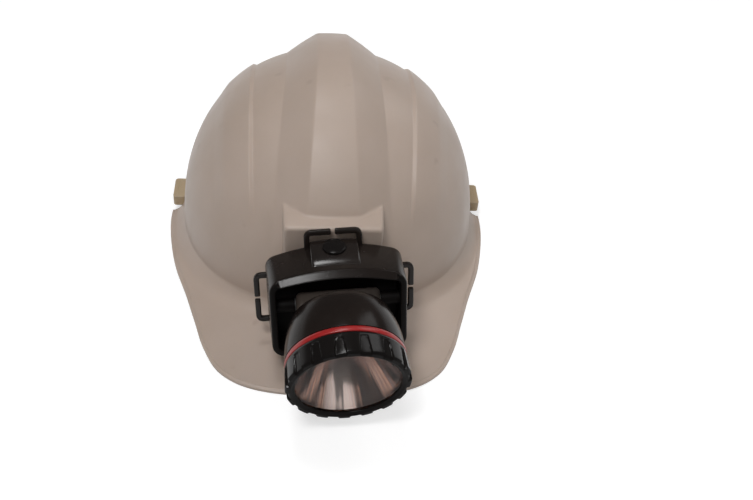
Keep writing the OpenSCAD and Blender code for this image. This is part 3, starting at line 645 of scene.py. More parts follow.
def housing_case():
    """The housing's closed body, as loops of (depth, inset) from the floor's back round the rim
    to the floor's front. The front edge is chamfered along the top and plain elsewhere."""
    back, front = housing_loop(0), housing_loop(1)
    chamfered = smooth((CHAMFER_HALF - np.abs(front[:, 0])) / 1.2 + 0.5) * (front[:, 1] > 0)
    upright = [(FLOOR_DEPTHS[0], CASE_WALL), (0.5, CASE_WALL), (0.1, CASE_WALL - 0.1)]
    drafted = [(0, CASE_WALL - 0.5), (0, 0.9), (0.1, 0.45), (0.35, 0.12), (0.9, 0), (2.9, 0),
               (8, 0), (16, 0), (24, 0), (29, 0)]
    plain = [(31, 0), (32.4, 0.02), (33.1, 0.14), (33.7, 0.45), (34.1, 0.9), (34.33, 1.4),
             (34.4, 2.0), (34.4, 3.2), (34.3, 3.7), (34.0, 3.95)]
    chamfer = [(29.6, 0), (30.45, 0.05), (30.8, 0.24), (31.2, 0.6), (32.4, 1.8), (33.6, 3.0),
               (34.0, 3.4), (34.25, 3.68), (34.37, 3.8), (34.4, 3.88)]
    inside = [(d, FRAME_WALL + i) for d, i in ((33.4, 0), (26, 0), (20, 0), (15.6, 0),
                                              (15.0, 0.15), (14.6, 0.55), (14.5, 1.1))]
    loops = []
    for shape, cut, share in ((upright, upright, 0), (drafted, drafted, None),
                              (plain, chamfer, None), (inside, inside, 1)):
        for (d0, i0), (d1, i1) in zip(shape, cut):
            depth = d0 + (d1 - d0) * chamfered
            inset = i0 + (i1 - i0) * chamfered
            draft = (depth / HOUSING_DEPTH if share is None else depth * 0 + share)[:, None]
            loop = back + (front - back) * draft
            run = unit(np.roll(loop, -1, 0) - np.roll(loop, 1, 0))
            loop = loop - np.stack([run[:, 1], -run[:, 0]], 1) * inset[:, None]
            loops.append(np.stack([loop[:, 0], -depth, loop[:, 1]], 1))
    n = len(back)
    centre = len(loops) * n
    points = np.concatenate(loops + [[(0, -depth, 0)] for depth in FLOOR_DEPTHS])
    faces = grid_faces(len(loops), n, closed=True)
    faces += [(centre, (k + 1) % n, k) for k in range(n)]
    faces += [(centre + 1, centre - n + k, centre - n + (k + 1) % n) for k in range(n)]
    made = piece("housing", placed(points, LAMP), faces, CASE)
    clean(made)
    return made


def lamp_housing():
    case = housing_case()
    half, depth, top_z = CUT_OUT
    carve(case, block("cutter", (-half, -HOUSING_DEPTH - 3, HOUSING_Z[0] - 5),
                      (half, -depth, top_z), CASE, LAMP, 2.5))
    carve(case, block("cutter", (OVERLAP - POD_HALF, -POD_SEAT[1], POD_SEAT[2]),
                      (POD_HALF - OVERLAP, -POD_SEAT[0], 50), CASE, LAMP))
    clean(case, 32)
    parts = [case]
    for side, _ in SIDES:
        start, end, r = EAR
        ear = fillet([(AXLE_HOLE_R, start, 0.2), (r, start, 0.5), (r, end - 1.5, 0),
                      (r + 1.5, end, 0), (AXLE_HOLE_R, end, 0)])
        parts.append(lathe("ear", ear, CASE,
                           LAMP @ Matrix.Translation(PIVOT) @ turned(side * 90, "Y"), 32))
        x, height, r = POST
        post = [(SCREW_HOLE_R, 2.4), (r, 2.4), (r, 12.6), (SCREW_HOLE_R, 12.6)]
        for z in (height, -height):
            place = LAMP @ Matrix.Translation((side * x, 0, z)) @ turned(90, "X")
            parts.append(lathe("post", post, CASE, place, 24))
    parts.append(block("seat", (-4, -4, -12), (4, 2.6, -9.45), CASE, POD, 0.3))
    housing = merge("lamp_housing_shell", parts, 32)
    # The inside of the case and the front rim get a darker, matt black: painted shade
    to_lamp = LAMP.inverted()
    for face in housing.data.polygons:
        x, y, z = to_lamp @ (face.center / MM)
        nx, ny, nz = to_lamp.to_3x3() @ face.normal
        walled = abs(x) < HOUSING_HALF - FRAME_WALL + 0.6 and FLOOR_DEPTHS[1] - 0.3 < -y < 33.3
        if (walled and (x * nx < -0.5 * abs(x) or z * nz < -0.5 * abs(z)
                        or -y < FLOOR_DEPTHS[1] + 1 or abs(z - PIVOT.z) < EAR[2] + 0.3)
                or -y > HOUSING_DEPTH - 0.7 and ny < -0.75):
            face.material_index = 1
    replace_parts(housing, "lamp_housing")


def loop_bar(name, side, corners):
    """A strap loop's bar, with rounded edges and ends, along corners of (x, z, radius)."""
    path = fillet(corners, 8)
    # A point close to each end keeps the shape of the rounded ends
    a, b, y, z = (Vector(path[k]) for k in (0, 1, -2, -1))
    first, last = a + (b - a).normalized() * 0.8, z + (y - z).normalized() * 0.8
    path = np.array([path[0], tuple(first), *path[1:-1], tuple(last), path[-1]]) * (side, 1)
    width, thick = (LOOP_BAR + 0.5) / 2, LOOP_DEPTH / 2
    section = rounded_rectangle(-width, -thick, width, thick, 0.8, 3)
    taper = [(0, 0.62), (0.12, 0.86), (0.5, 1)]
    loops = []
    for k, (p, t, s) in enumerate(zip(path, *along(path))):
        steps = (taper if k == 0 else [(-f, scale) for f, scale in taper[::-1]]
                 if k == len(path) - 1 else [(0, 1)])
        for f, scale in steps:
            loops.append([(p[0] + t[0] * f + s[0] * v * scale, -LOOP_DEPTH / 2 + d * scale,
                           p[1] + t[1] * f + s[1] * v * scale) for v, d in section])
    clean(piece(name, placed(loops, LAMP), tube_faces(len(loops), len(section)), CASE), 60)


def strap_loops():
    half, gap, bend = LOOP_BAR / 2, LOOP_GAP / 2, 3.4
    reach, low, high = SIDE_LOOP
    x, middle = reach - half, (low + high) / 2
    top_x, top_z = TOP_LOOP[0] - half, TOP_LOOP[1] - half
    for side, word in SIDES:
        for z, way, end in ((high - half, -1, "upper"), (low + half, 1, "lower")):
            loop_bar(f"strap_loop_{word}_{end}", side,
                     [(HOUSING_HALF - 3, z, 0), (x, z, bend), (x, middle - way * gap, 0)])
        loop_bar("strap_loop_top_" + word, side,
                 [(top_x, HOUSING_Z[1] + 1, 0), (top_x, top_z, bend), (gap, top_z, 0)])


def switch():
    # The pod's side view, drawn across; its height falls by POD_CROWN towards the sides
    across = np.linspace(-1, 1, 25)
    points = [(POD_HALF * x, -d, z - POD_CROWN * x * x) for x in across for d, z in POD_SIDE]
    pod = piece("switch_pod_cover", placed(points, LAMP), tube_faces(len(across), len(POD_SIDE)),
                ("lamp", "gloss_black"))
    clean(pod)
    round_edges(pod, 1.5, 5)
    r, floor = BUTTON_R + 0.25, SPRING_Z[0]
    carve(pod, lathe("well", [(0.01, floor), (r, floor), (r, 4), (0.01, 4)],
                     ("lamp", "gloss_black"), POD, 96))
    clean(pod, 30)
    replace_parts(pod, "switch_pod")
    profile = [(0.01, -4.9, 0), (2, -4.9, 0.2), (2, -3.2, 0.2), (BUTTON_R, -3.2, 0.3),
               (BUTTON_R, 1.5, 0.9), (BUTTON_R - 2, 1.9, 1.2), (0.01, 2.0, 0)]
    button = lathe("push_button", fillet(profile, 5), ("button", "head_plastic"), POD, 96)
    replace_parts(button, "switch_button")


def button_coil(turns=3, steps=24, ring=8):
    """Spring under the button."""
    (low, high), (mean, wire) = SPRING_Z, SPRING_R
    count = turns * steps
    points = []
    for k in range(count + 1):
        a = 2 * math.pi * k / steps
        height = low + wire + (high - low - 2 * wire) * k / count
        for j in range(ring):
            b = 2 * math.pi * j / ring
            r = mean + wire * math.cos(b)
            points.append((r * math.cos(a), r * math.sin(a), height + wire * math.sin(b)))
    made = piece("button_coil", placed(points, POD), tube_faces(count + 1, ring),
                 ("lamp", "steel"))
    clean(made, 60)
    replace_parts(made, "button_spring")
    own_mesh(made)


# ---- lamp head
def hood_r(s):
    span = HOOD_S[1] - HOOD_S[0]
    depth = span / math.sqrt(1 - (HOOD_R[0] / HOOD_R[1]) ** 2)
    return HOOD_R[1] * math.sqrt(1 - ((HOOD_S[1] - s) / depth) ** 2)


NOTCH_PITCH = 2 * math.pi / BEZEL_NOTCHES
NOTCH_START = math.radians(NOTCH_TURN)
# Angles round the bezel, closest at the notches' walls
NOTCH_ANGLES = np.concatenate([
    NOTCH_START + NOTCH_PITCH * (k + np.linspace(a, b, n)[:-1] / 2) for k in range(BEZEL_NOTCHES)
    for a, b, n in ((-1, -0.62, 7), (-0.62, -0.3, 14), (-0.3, 0.3, 7), (0.3, 0.62, 14),
                    (0.62, 1, 7))])


def notch(radius, height, turn):
    """Cuts grip notches in the bezel's outside: wedges that open towards the front."""
    off = (turn - NOTCH_START + NOTCH_PITCH / 2) % NOTCH_PITCH - NOTCH_PITCH / 2
    ahead = np.clip((height - NOTCH_S) / (BEZEL_S[1] - NOTCH_S), 0, 1)
    half, depth = (a + (b - a) * ahead for a, b in (NOTCH_HALF, NOTCH_DEPTH))
    wall = smooth((half + 0.25 - np.abs(off) * BEZEL_R) / 0.5)
    start = smooth((height - NOTCH_S + 0.25) / 0.5)
    return radius - depth * wall * start * smooth((radius - NECK_R - 0.6) / 0.5)


def ripple(radius, height, turn):
    """Fine uneven flutes round the reflector, which draw a reflection out into streaks."""
    wave = sum(size * np.cos(count * turn + start) for size, count, start in (
        (0.030, 31, 0.6), (0.020, 47, 2.1), (0.045, 19, 4.0)))
    return radius + wave * radius / MIRROR_R


def hood():
    s0, s1 = HOOD_S
    outer = [(hood_r(s), s, 0) for s in np.linspace(s0 + 3, s1 - 0.5, 16)]
    inner = [(r - 2.4, s, 0) for r, s, _ in outer[::-1] if s < s1 - 3]
    profile = [(4, s0, 0), (hood_r(s0) - 0.2, s0, 2.2), *outer, (HOOD_R[1], s1, 0.3),
               (NECK_R, s1, 0), (NECK_R, NECK_S, 0.3), (NECK_R - 1.6, NECK_S, 0.2),
               (NECK_R - 1.6, s1 - 2, 0), *inner, (hood_r(s0) - 4, s0 + 2.4, 0),
               (4, s0 + 2.4, 0)]
    made = lathe("hood", fillet(profile, 6), ("head", "gloss_black"), BEAM)
    made.data.materials.append(plastic("hood_black", (27, 22, 20), (35, 29, 26), (0.16, 0.24),
                                       specular=0.12, scuffs=0.04))
    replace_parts(made, "head_hood")
    s0, s1 = RING_S
    profile = [(NECK_R + 0.05, s0, 0), (RING_R - 0.7, s0, 0.6), (RING_R, s0 + 1.6, 2.0),
               (RING_R, s1, 0.7), (NECK_R + 0.05, s1, 0)]
    ring = lathe("red_ring", fillet(profile, 5), ("head", "red_trim"), BEAM)
    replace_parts(ring, "trim_ring")


def bezel():
    s0, s1 = BEZEL_S
    wall = [(BEZEL_R - 0.5 + 0.5 * f, s0 + 1.4 + (s1 - s0 - 5) * f, 0)
            for f in (0.08, 0.12, 0.16, 0.2, 0.3, 0.5, 0.75, 1)]
    profile = [(NECK_R + 0.1, s0, 0.2), (BEZEL_R - 0.9, s0, 0.7), (BEZEL_R - 0.5, s0 + 1.4, 0.6),
               *wall, (BEZEL_R + 0.05, s1 - 1.6, 0.8), (BEZEL_R - 0.9, s1 - 0.1, 1.0),
               (LENS_OPENING_R + 2.6, s1, 0.9), (LENS_OPENING_R + 0.2, LIP_S + 1.7, 0.6),
               (LENS_OPENING_R + 0.2, LIP_S, 0), (NECK_R + 0.1, LIP_S, 0)]
    made = lathe("bezel_ring", fillet(profile, 5), ("bezel", "head_plastic"), BEAM,
                 NOTCH_ANGLES, notch)
    # The front lip gets the darker, matt black: painted shade
    to_beam = BEAM.inverted()
    for face in made.data.polygons:
        height = (to_beam @ (face.center / MM)).z
        if height > LIP_S + 0.2 and (to_beam.to_3x3() @ face.normal).z > 0.35:
            face.material_index = 1
    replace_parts(made, "bezel")


def optics():
    (s0, s1), r, step = LENS_S, LENS_OPENING_R, LENS_OPENING_R + 0.5
    profile = [(0.01, s0, 0), (LENS_R, s0, 0.2), (LENS_R, s1, 0.2), (step, s1, 0),
               (step, LIP_S - 0.1, 0), (r, LIP_S - 0.1, 0), (r, LIP_S + 1.1, 0.3),
               (0.01, LIP_S + 1.5, 0)]
    pane = lathe("lens_pane", fillet(profile), ("focus", "clear_lens"), BEAM)
    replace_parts(pane, "lens")
    s0, s1 = MIRROR_S
    throat = s0 + 1.1
    heights = throat + (s1 - throat) * (np.arange(41) / 40) ** 1.5
    radii = MIRROR_R * np.sqrt((heights - s0) / (s1 - s0))
    profile = [*zip(radii, heights), (LENS_R - 0.1, s1), (LENS_R - 0.1, s1 - 1.8)]
    profile += [(r + 1.1, s) for r, s in zip(radii[-5::-2], heights[-5::-2])]
    mirror = lathe("mirror", profile, ("focus", "mirror_metal"), BEAM, 432, ripple)
    local = placed(vertices(mirror) / MM, BEAM.inverted())
    depth = np.clip((local[:, 2] - s0) / (s1 - s0), 0, 1)
    set_uv(mirror, unit(local[:, :2]) * (1 + depth)[:, None])
    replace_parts(mirror, "reflector")


def tilt_block():
    (half, high), (back, front) = BLOCK_HALF, BLOCK_S
    made = block("tilt_knuckle", (-half, -high, back), (half, high, front),
                 ("head", "case_plastic"), HEAD, 3.6, 6)
    # A lighter grey than the case's black: painted light, where the block catches the light
    made.data.materials.append(plastic("block_painted_light", (66, 58, 52), (54, 48, 44), (0.4, 0.55),
                                       2000, 0.06, 0.4))
    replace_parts(made, "tilt_block")


# ---- harness
def stitches(name, marks, slot):
    """A short thread at each mark, which is (place, direction, outward)."""
    length, thick = STITCH
    points, faces = [], []
    for spot, way, out in marks:
        spot, way, out = Vector(spot), Vector(way).normalized(), Vector(out).normalized()
        across = way.cross(out)
        faces += tube_faces(5, 6, len(points), flip=True)
        for f in (-1, -0.7, 0, 0.7, 1):
            w = (1 - f * f * 0.92) ** 0.5
            for k in range(6):
                a = math.pi / 3 * k
                points.append(tuple(spot + way * f * length / 2
                                    + (across * math.cos(a) + out * math.sin(a)) * thick * w))
    made = piece(name, points, faces, ("helmet", slot), 60)
    made.data.materials.append(bpy.data.materials.get("thread") or plastic(
        "thread", (96, 96, 100), (78, 78, 82), (0.7, 0.85), 5000, 0.4))


def crown_strap(word, turn, lift):
    """Woven strap that arches from a front key to the rear key across from it."""
    half, thick = STRAP_WIDTH / 2, STRAP_THICKNESS / 2
    front, rear = (rim_r(a) - WALL - KEY_PLATE - 0.2 - thick
                   for a in (STRAP_ANGLE, 180 - STRAP_ANGLE))
    rise = STRAP_TOP_Z + lift - thick - STRAP_FOOT_Z
    v = np.linspace(0, math.pi, 241)
    power = 2 / STRAP_POWER
    reach = -np.sign(np.cos(v)) * np.where(v < math.pi / 2, front, rear)
    path = np.stack([reach * np.abs(np.cos(v)) ** power,
                     STRAP_FOOT_Z + rise * np.sin(v).clip(0) ** power], 1)
    run, out = along(path)
    length = np.append(0, np.cumsum(np.linalg.norm(np.diff(path, axis=0), axis=1)))
    section = [(f * half, thick * (1 - 0.35 * smooth((abs(f) - 0.86) / 0.14)))
               for f in np.linspace(-1, 1, 17)]
    section += [(a, -b) for a, b in section[::-1]]
    points = [(x + nx * b, a, z + nz * b) for (x, z), (nx, nz) in zip(path, out)
              for a, b in section]
    place = turned(turn, "Z")
    made = piece("crown_webbing_" + word, placed(points, place),
                 tube_faces(len(path), len(section), flip=True), ("helmet", "webbing"), 60)
    set_uv(made, [(a, d) for d in length for a, b in section])
    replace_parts(made, "crown_strap_" + word)

    # A box of stitches near each end, on both faces of the strap
    start, end, edge = BOX_STITCH
    marks = []

    def mark(distance, across, face, way=None):
        i = int(np.searchsorted(length, distance))
        (x, z), (nx, nz), (tx, tz) = path[i] + out[i] * thick * face, out[i], run[i]
        marks.append([place.to_3x3() @ Vector(v)
                      for v in ((x, across, z), way or (tx, 0, tz), (nx, 0, nz))])

    for face in (1, -1):
        for box in (start, length[-1] - end):
            for k in range(6):
                for across in (-edge, edge):
                    mark(box + 3 * k + 1.5, across, face)
            for row in (0, end - start):
                for k in range(5):
                    mark(box + row, -6 + 3 * k, face, (0, 1, 0))
    stitches("strap_stitches_" + word, marks, "webbing")


def swell(made, pinned, cap):
    """Puffs a closed piece with a short cloth simulation; no point moves further than cap."""
    before = vertices(made)
    group = made.vertex_groups.new(name="pinned")
    group.add([int(v) for v in np.flatnonzero(pinned)], 1.0, "REPLACE")
    cloth = modifier(made, "CLOTH").settings
    cloth.vertex_group_mass = "pinned"
    cloth.use_pressure = True
    cloth.uniform_pressure_force = 4
    cloth.quality = 5
    cloth.mass = 0.15
    cloth.effector_weights.gravity = 0
    for frame_number in range(1, 21):
        scene.frame_set(frame_number)
    apply_modifiers(made)
    scene.frame_set(1)
    moved = vertices(made) - before
    size = np.linalg.norm(moved, axis=1)[:, None]
    moved *= np.minimum(1, cap * MM / np.maximum(size, 1e-9))
    made.data.vertices.foreach_set("co", (before + moved).ravel())
    made.vertex_groups.clear()


def sweatband():
    """Padded band round the front of the headband, puffed between its two seams."""
    back_r, height = BAND_R - 0.3, BAND_H + 2 * PAD_OVERHANG
    low = BAND_Z - PAD_OVERHANG

    def on_band(r, a, v):
        """A point on the band at a radius and angle, and from its lower edge, -1, to 1."""
        return (r * math.cos(a), r * math.sin(a) + BAND_Y - BAND_OFFSET,
                low + height * (v + 1) / 2)

    sweep = np.radians(np.linspace(270 - PAD_ARC / 2, 270 + PAD_ARC / 2, 97))
    rows = np.concatenate([[-1, -0.97, -0.9, -0.84], np.linspace(-0.75, 0.75, 15),
                           [0.84, 0.9, 0.97, 1]])
    seam = np.abs(np.abs(rows) - PAD_SEAM) < 0.04
    fat = PAD_THICKNESS + PAD_CROWN * np.cos(rows * math.pi / 2).clip(0) ** 0.5
    fat = np.where(seam, PAD_THICKNESS + 0.35, fat)
    points = []
    for a in sweep:
        taper = 0.45 + 0.55 * smooth(min(a - sweep[0], sweep[-1] - a) * back_r / 5)
        points += [on_band(back_r - f * taper, a, v) for f, v in zip(fat, rows)]
        points += [on_band(back_r, a, v) for v in rows[::-1]]
    count, columns = len(rows), 2 * len(rows)
    faces = grid_faces(len(sweep), columns, closed=True)
    for first in (0, (len(sweep) - 1) * columns):
        faces += [(first + k, first + k + 1, first + columns - 2 - k, first + columns - 1 - k)
                  for k in range(count - 1)]
    made = piece("sweatband_pad", points, faces, ("helmet", "sweatband"), 60)
    clean(made, 60)
    pinned = np.ones((len(sweep), columns), bool)
    pinned[1:-1, :count] = seam | (np.abs(rows) > 0.95)
    swell(made, pinned.ravel(), PAD_SWELL)
    modifier(made, "SUBSURF", levels=1, render_levels=1)
    apply_modifiers(made)
    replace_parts(made, "brow_pad")
    turns = np.radians(np.arange(270 - PAD_ARC / 2 + 2, 270 + PAD_ARC / 2 - 1, 2.6))
    stitches("sweatband_stitches",
             [(on_band(back_r - PAD_THICKNESS - 0.4, a, v), (-math.sin(a), math.cos(a), 0),
               (-math.cos(a), -math.sin(a), 0)) for v in (-PAD_SEAM, PAD_SEAM) for a in turns],
             "sweatband")


def knob_flute(radius, height, turn):
    """Finger flutes round the size knob."""
    wave = 0.5 + 0.5 * np.cos(16 * turn)
    return radius - 1.15 * wave ** 1.6 * smooth((radius - 10.5) / 1.5)


def size_knob():
    home = ("knob", "gloss_black")
    place = (Matrix.Translation((0, BAND_Y + BAND_OFFSET + BAND_R, BAND_Z + BAND_H / 2))
             @ turned(-90, "X"))
    profile = [(1.5, 0.3, 0), (5, 0.3, 0.2), (5, 5.8, 0), (12, 5.8, 0.5), (13, 6.8, 0.8),
               (13, 12.2, 1.2), (11.6, 13.8, 1.4), (8.5, 13.1, 1.5), (4.4, 13.2, 0.6),
               (3.4, 13.4, 0.4), (3.4, 11.8, 0), (1.5, 11.8, 0)]
    cap = lathe("grip", fillet(profile, 5), home, place, 320, knob_flute)
    teeth = [(r, math.radians(30 * k + a)) for k in range(12)
             for r, a in ((8, -4), (8, 4), (6.4, 11), (6.4, 19))]
    points = [(r * math.cos(a), r * math.sin(a), z) for z in (0.1, 1.3) for r, a in teeth]
    pinion = piece("pinion", placed(points, place), tube_faces(2, len(teeth)), home)
    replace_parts(merge("knob_grip", [cap, pinion], 50), "size_knob")


# ---- materials
def rgba(colour):
    """Linear colour of a grey level, or of three sRGB levels from 0 to 255."""
    if not hasattr(colour, "__len__"):
        return (colour, colour, colour, 1)
    if len(colour) == 4:
        return colour
    levels = [v / 255 for v in colour]
    return (*(v / 12.92 if v <= 0.04045 else ((v + 0.055) / 1.055) ** 2.4 for v in levels), 1)


class Nodes:
    """The nodes of a material or world. An input is given as a number, as a colour that rgba
    reads, or as the output that feeds it."""

    def __init__(self, owner):
        owner.use_nodes = True
        self.tree = owner.node_tree

    def fill(self, socket, value):
        if hasattr(value, "is_linked"):
            self.tree.links.new(value, socket)
        else:
            socket.default_value = rgba(value) if socket.type == "RGBA" else value

    def add(self, kind, *inputs, **values):
        """A node, with inputs in their order, and inputs and settings by name."""
        made = self.tree.nodes.new("ShaderNode" + kind)
        for key, value in values.items():
            name = key.replace("_", " ")
            if name in made.inputs:
                self.fill(made.inputs[name], value)
            else:
                setattr(made, key, value)
        for socket, value in zip(made.inputs, inputs):
            self.fill(socket, value)
        return made

    def math(self, operation, *inputs):
        return self.add("Math", *inputs, operation=operation).outputs["Value"]

    def vector(self, operation, *inputs):
        return self.add("VectorMath", *inputs, operation=operation).outputs

    def coords(self, kind):
        return self.add("TexCoord").outputs[kind]

    def noise(self, scale, detail=4, roughness=0.55, stretch=None):
        """Noise in the object's own coordinates, scale in features per metre."""
        source = self.coords("Object")
        if stretch:
            source = self.add("Mapping", Vector=source, Scale=stretch).outputs["Vector"]
        return self.add("TexNoise", Vector=source, Scale=scale, Detail=detail,
                        Roughness=roughness).outputs["Fac"]

    def ramp(self, factor, *stops):
        """Colours at positions of a factor."""
        made = self.add("ValToRGB", Fac=factor)
        elements = made.color_ramp.elements
        elements.remove(elements[-1])
        for k, (position, colour) in enumerate(stops):
            element = elements[0] if k == 0 else elements.new(position)
            element.position = position
            element.color = rgba(colour)
        return made.outputs["Color"]

    def patches(self, low, high, *noise):
        """Noise with more contrast, between two of ramp's stops."""
        return self.ramp(self.noise(*noise), low, high)

    def mix(self, factor, a, b, blend="MIX"):
        return self.add("Mix", data_type="RGBA", blend_type=blend, Factor=factor, A=a,
                        B=b).outputs["Result"]

    def map_range(self, value, **limits):
        return self.add("MapRange", Value=value, **limits).outputs["Result"]


class Surface(Nodes):
    """A material under construction."""

    def __init__(self, name):
        self.material = bpy.data.materials.new(name)
        super().__init__(self.material)
        self.shader = self.tree.nodes["Principled BSDF"]

    def finish(self, base, gloss, relief=None, **inputs):
        """Fills the shader's inputs. relief is (height, strength, distance) of the bump."""
        inputs.update(Base_Color=base, Roughness=gloss)
        if relief:
            height, strength, distance = relief
            inputs["Normal"] = self.add("Bump", Strength=strength, Distance=distance,
                                        Height=height).outputs["Normal"]
        for key, value in inputs.items():
            self.fill(self.shader.inputs[key.replace("_", " ")], value)
        return self.material


def plastic(name, colour, shade, gloss, grain=1400, grain_depth=0.02, specular=0.5, scuffs=0):
    """Moulded plastic: a colour that drifts towards shade, a fine grain, worn and uneven gloss,
    and pale hairline scuffs."""
    m = Surface(name)
    base = m.mix(m.patches((0.35, 0), (0.7, 1), 18, 5), colour, shade)
    wear = m.patches((0.3, gloss[0]), (0.75, gloss[1]), 90, 6, 0.65)
    if scuffs:
        lines = m.patches((0.62, 0), (0.66, 1), 150, 3, 0.6, (1, 1, 0.08))
        patch = m.patches((0.5, 0), (0.62, scuffs), 25, 3)
        amount = m.mix(1.0, lines, patch, "MULTIPLY")
        pale = (*(min(1, v + 0.12) for v in rgba(colour)[:3]), 1)
        base, wear = m.mix(amount, base, pale), m.mix(amount, wear, 0.75)
    return m.finish(base, wear, (m.noise(grain, 3), grain_depth, 0.0004),
                    Specular_IOR_Level=specular)


def shell_material(name, colour, shade, scatter):
    """Off-white moulded shell: faint mottling, sparse faded smudges and a soft satin gloss."""
    m = Surface(name)
    base = m.mix(m.patches((0.35, 0), (0.7, 1), 14, 5), colour, shade)
    smudge = m.patches((0.7, 0), (0.8, 0.24), 70, 2, 0.4)
    dust = m.patches((0.55, 0), (0.9, 0.12), 500, 3, 0.7)
    base = m.mix(dust, m.mix(smudge, base, (138, 118, 106)), (150, 136, 124))
    return m.finish(base, m.patches((0.3, 0.35), (0.75, 0.48), 60, 6, 0.6),
                    (m.noise(700, 3), 0.03, 0.0004), Subsurface_Weight=scatter,
                    Subsurface_Radius=(0.004, 0.003, 0.002), Specular_IOR_Level=0.36)


def webbing_material():
    """Woven strap: a herringbone of fine ribs, laid out in millimetres along the strap."""
    m = Surface("webbing")
    parts = m.add("SeparateXYZ", m.coords("UV"))
    across, length = parts.outputs["X"], parts.outputs["Y"]

    def ribs(value, pitch):
        return m.math("ABSOLUTE", m.math("SINE", m.math("MULTIPLY", value, pitch)))

    fold = m.math("PINGPONG", across, 2.5)
    weft = ribs(m.math("ADD", m.math("MULTIPLY", length, 0.9), fold), 3.6)
    warp = ribs(across, 5.0)
    height = m.math("ADD", weft, m.math("MULTIPLY", warp, 0.35))
    # Darker in the grooves between the ribs: painted shade
    tone = m.mix(weft, (58, 60, 64), (96, 98, 104))
    soil = m.patches((0.45, 0), (0.8, 0.5), 40, 5)
    return m.finish(m.mix(soil, tone, (70, 64, 58)), m.patches((0.3, 0.75), (0.7, 0.92), 900, 3),
                    (height, 0.5, 0.0003), Sheen_Weight=0.25)


def sweatband_material():
    """Perforated foam-backed cloth."""
    m = Surface("sweatband")
    holes = m.add("TexVoronoi", Vector=m.coords("Object"), Scale=330, Randomness=0.25)
    cloth = m.ramp(holes.outputs["Distance"], (0.16, 0.0), (0.26, 1.0))
    tone = m.mix(m.patches((0.35, 0), (0.7, 1), 60, 5), (44, 44, 48), (32, 32, 35))
    return m.finish(m.mix(cloth, (14, 14, 15), tone), m.patches((0.3, 0.8), (0.7, 0.95), 2000, 3),
                    (m.mix(0.75, m.noise(2600, 3), cloth), 0.6, 0.0004), Sheen_Weight=0.3)


def metal(name, colour, gloss):
    """Brushed metal."""
    m = Surface(name)
    darker = (*(v * 0.75 for v in rgba(colour)[:3]), 1)
    return m.finish(m.mix(m.patches((0.3, 0), (0.75, 1), 300, 4), colour, darker),
                    m.patches((0.3, gloss[0]), (0.7, gloss[1]), 900, 3, 0.5, (1, 1, 8)),
                    (m.noise(3000, 2, 0.5, (1, 1, 6)), 0.05, 0.0002), Metallic=1)


def mirror_material():
    """Metallised plastic with radial bands, partly uneven coating and partly painted reflection
    streaks, with painted shade deep in the bowl and a painted reflection at its bottom. Its
    texture coordinates point round the bowl, and their length is 1 at the bowl's bottom and 2 at
    its rim."""
    m = Surface("mirror_metal")
    coords = m.coords("UV")
    around = m.vector("NORMALIZE", coords)["Vector"]
    # Radial bands of colour: partly uneven coating, partly painted reflection streaks
    bands = m.add("TexNoise", Vector=around, Scale=20, Detail=5, Roughness=0.65)
    tone = m.ramp(bands.outputs["Fac"], (0.34, (40, 27, 23)), (0.42, (124, 80, 56)),
                  (0.47, (172, 138, 122)), (0.51, (48, 34, 32)), (0.56, (138, 112, 104)),
                  (0.64, (54, 44, 50)))
    # Darker deep in the bowl, fading out towards the rim: painted shade
    rise = m.map_range(m.vector("LENGTH", coords)["Value"], From_Min=1.2, From_Max=1.55)
    tone = m.mix(1.0, tone, m.mix(rise, (158, 140, 136), (255, 255, 255)), "MULTIPLY")
    # A pale patch at the bottom, towards the rim: a painted reflection
    facing = m.vector("DOT_PRODUCT", around, (-0.12, -0.993, 0))["Value"]
    painted_reflection_wedge = m.map_range(facing, From_Min=0.93, From_Max=0.99, To_Max=0.8)
    tone = m.mix(m.math("MULTIPLY", rise, painted_reflection_wedge), tone, (218, 200, 192))
    return m.finish(tone, m.patches((0.35, 0.1), (0.75, 0.2), 120, 5), Metallic=1)


def glass():
    """Clear lens of a low index, which keeps reflections off the bowl behind it."""
    m = Surface("clear_lens")
    return m.finish(1, m.patches((0.4, 0), (0.8, 0.03), 60, 4), Transmission_Weight=1,
                    Specular_IOR_Level=0.15, IOR=1.12)


def make_materials():
    return {
        "shell_plastic": shell_material("shell_white", (185, 168, 156), (177, 160, 147), 0.1),
        "band_plastic": plastic("band_grey", (88, 90, 94), (78, 80, 84), (0.42, 0.58),
                                scuffs=0.4),
        "sweatband": sweatband_material(),
        "webbing": webbing_material(),
        "key_plastic": plastic("key_nylon", (205, 203, 196), (194, 190, 180), (0.35, 0.5)),
        "case_plastic": plastic("case_black", (25, 20, 18), (34, 28, 25), (0.2, 0.3), 3000, 0.04,
                                0.2, 0.06),
        "head_plastic": plastic("head_black", (18, 16, 15), (25, 22, 21), (0.13, 0.22),
                                specular=0.16, scuffs=0.05),
        "steel": metal("steel", (190, 190, 194), (0.25, 0.4)),
        "aluminium": metal("aluminium", (196, 198, 202), (0.35, 0.5)),
        "mirror_metal": mirror_material(),
        "clear_lens": glass(),
        **{name: plastic(name, *look) for name, *look in (
            ("cell_wrap", (70, 92, 160), (60, 84, 150), (0.25, 0.35)),
            ("circuit_board", (24, 92, 48), (18, 78, 40), (0.35, 0.5)),
            ("board_part", (38, 38, 42), (30, 30, 32), (0.4, 0.55)),
            ("friction_plastic", (60, 60, 60), (50, 50, 50), (0.6, 0.7)),
            ("led_substrate", (226, 226, 218), (214, 214, 206), (0.4, 0.5)),
            ("led_phosphor", (240, 226, 110), (228, 208, 90), (0.2, 0.3)),
            ("seal_rubber", (28, 28, 28), (22, 22, 22), (0.6, 0.75)),
            ("red_trim", (168, 32, 31), (148, 27, 27), (0.25, 0.35), 1400, 0.02, 0.5, 0.3),
            # A darker, matt copy of the black plastic: painted shade inside the case and on the
            # front rims
            ("case_inside", (11, 9, 8), (16, 13, 12), (0.5, 0.65), 3000, 0.04, 0.08),
            ("gloss_black", (27, 22, 20), (35, 29, 26), (0.14, 0.22), 1400, 0.02, 0.36, 0.04),
        )},
    }


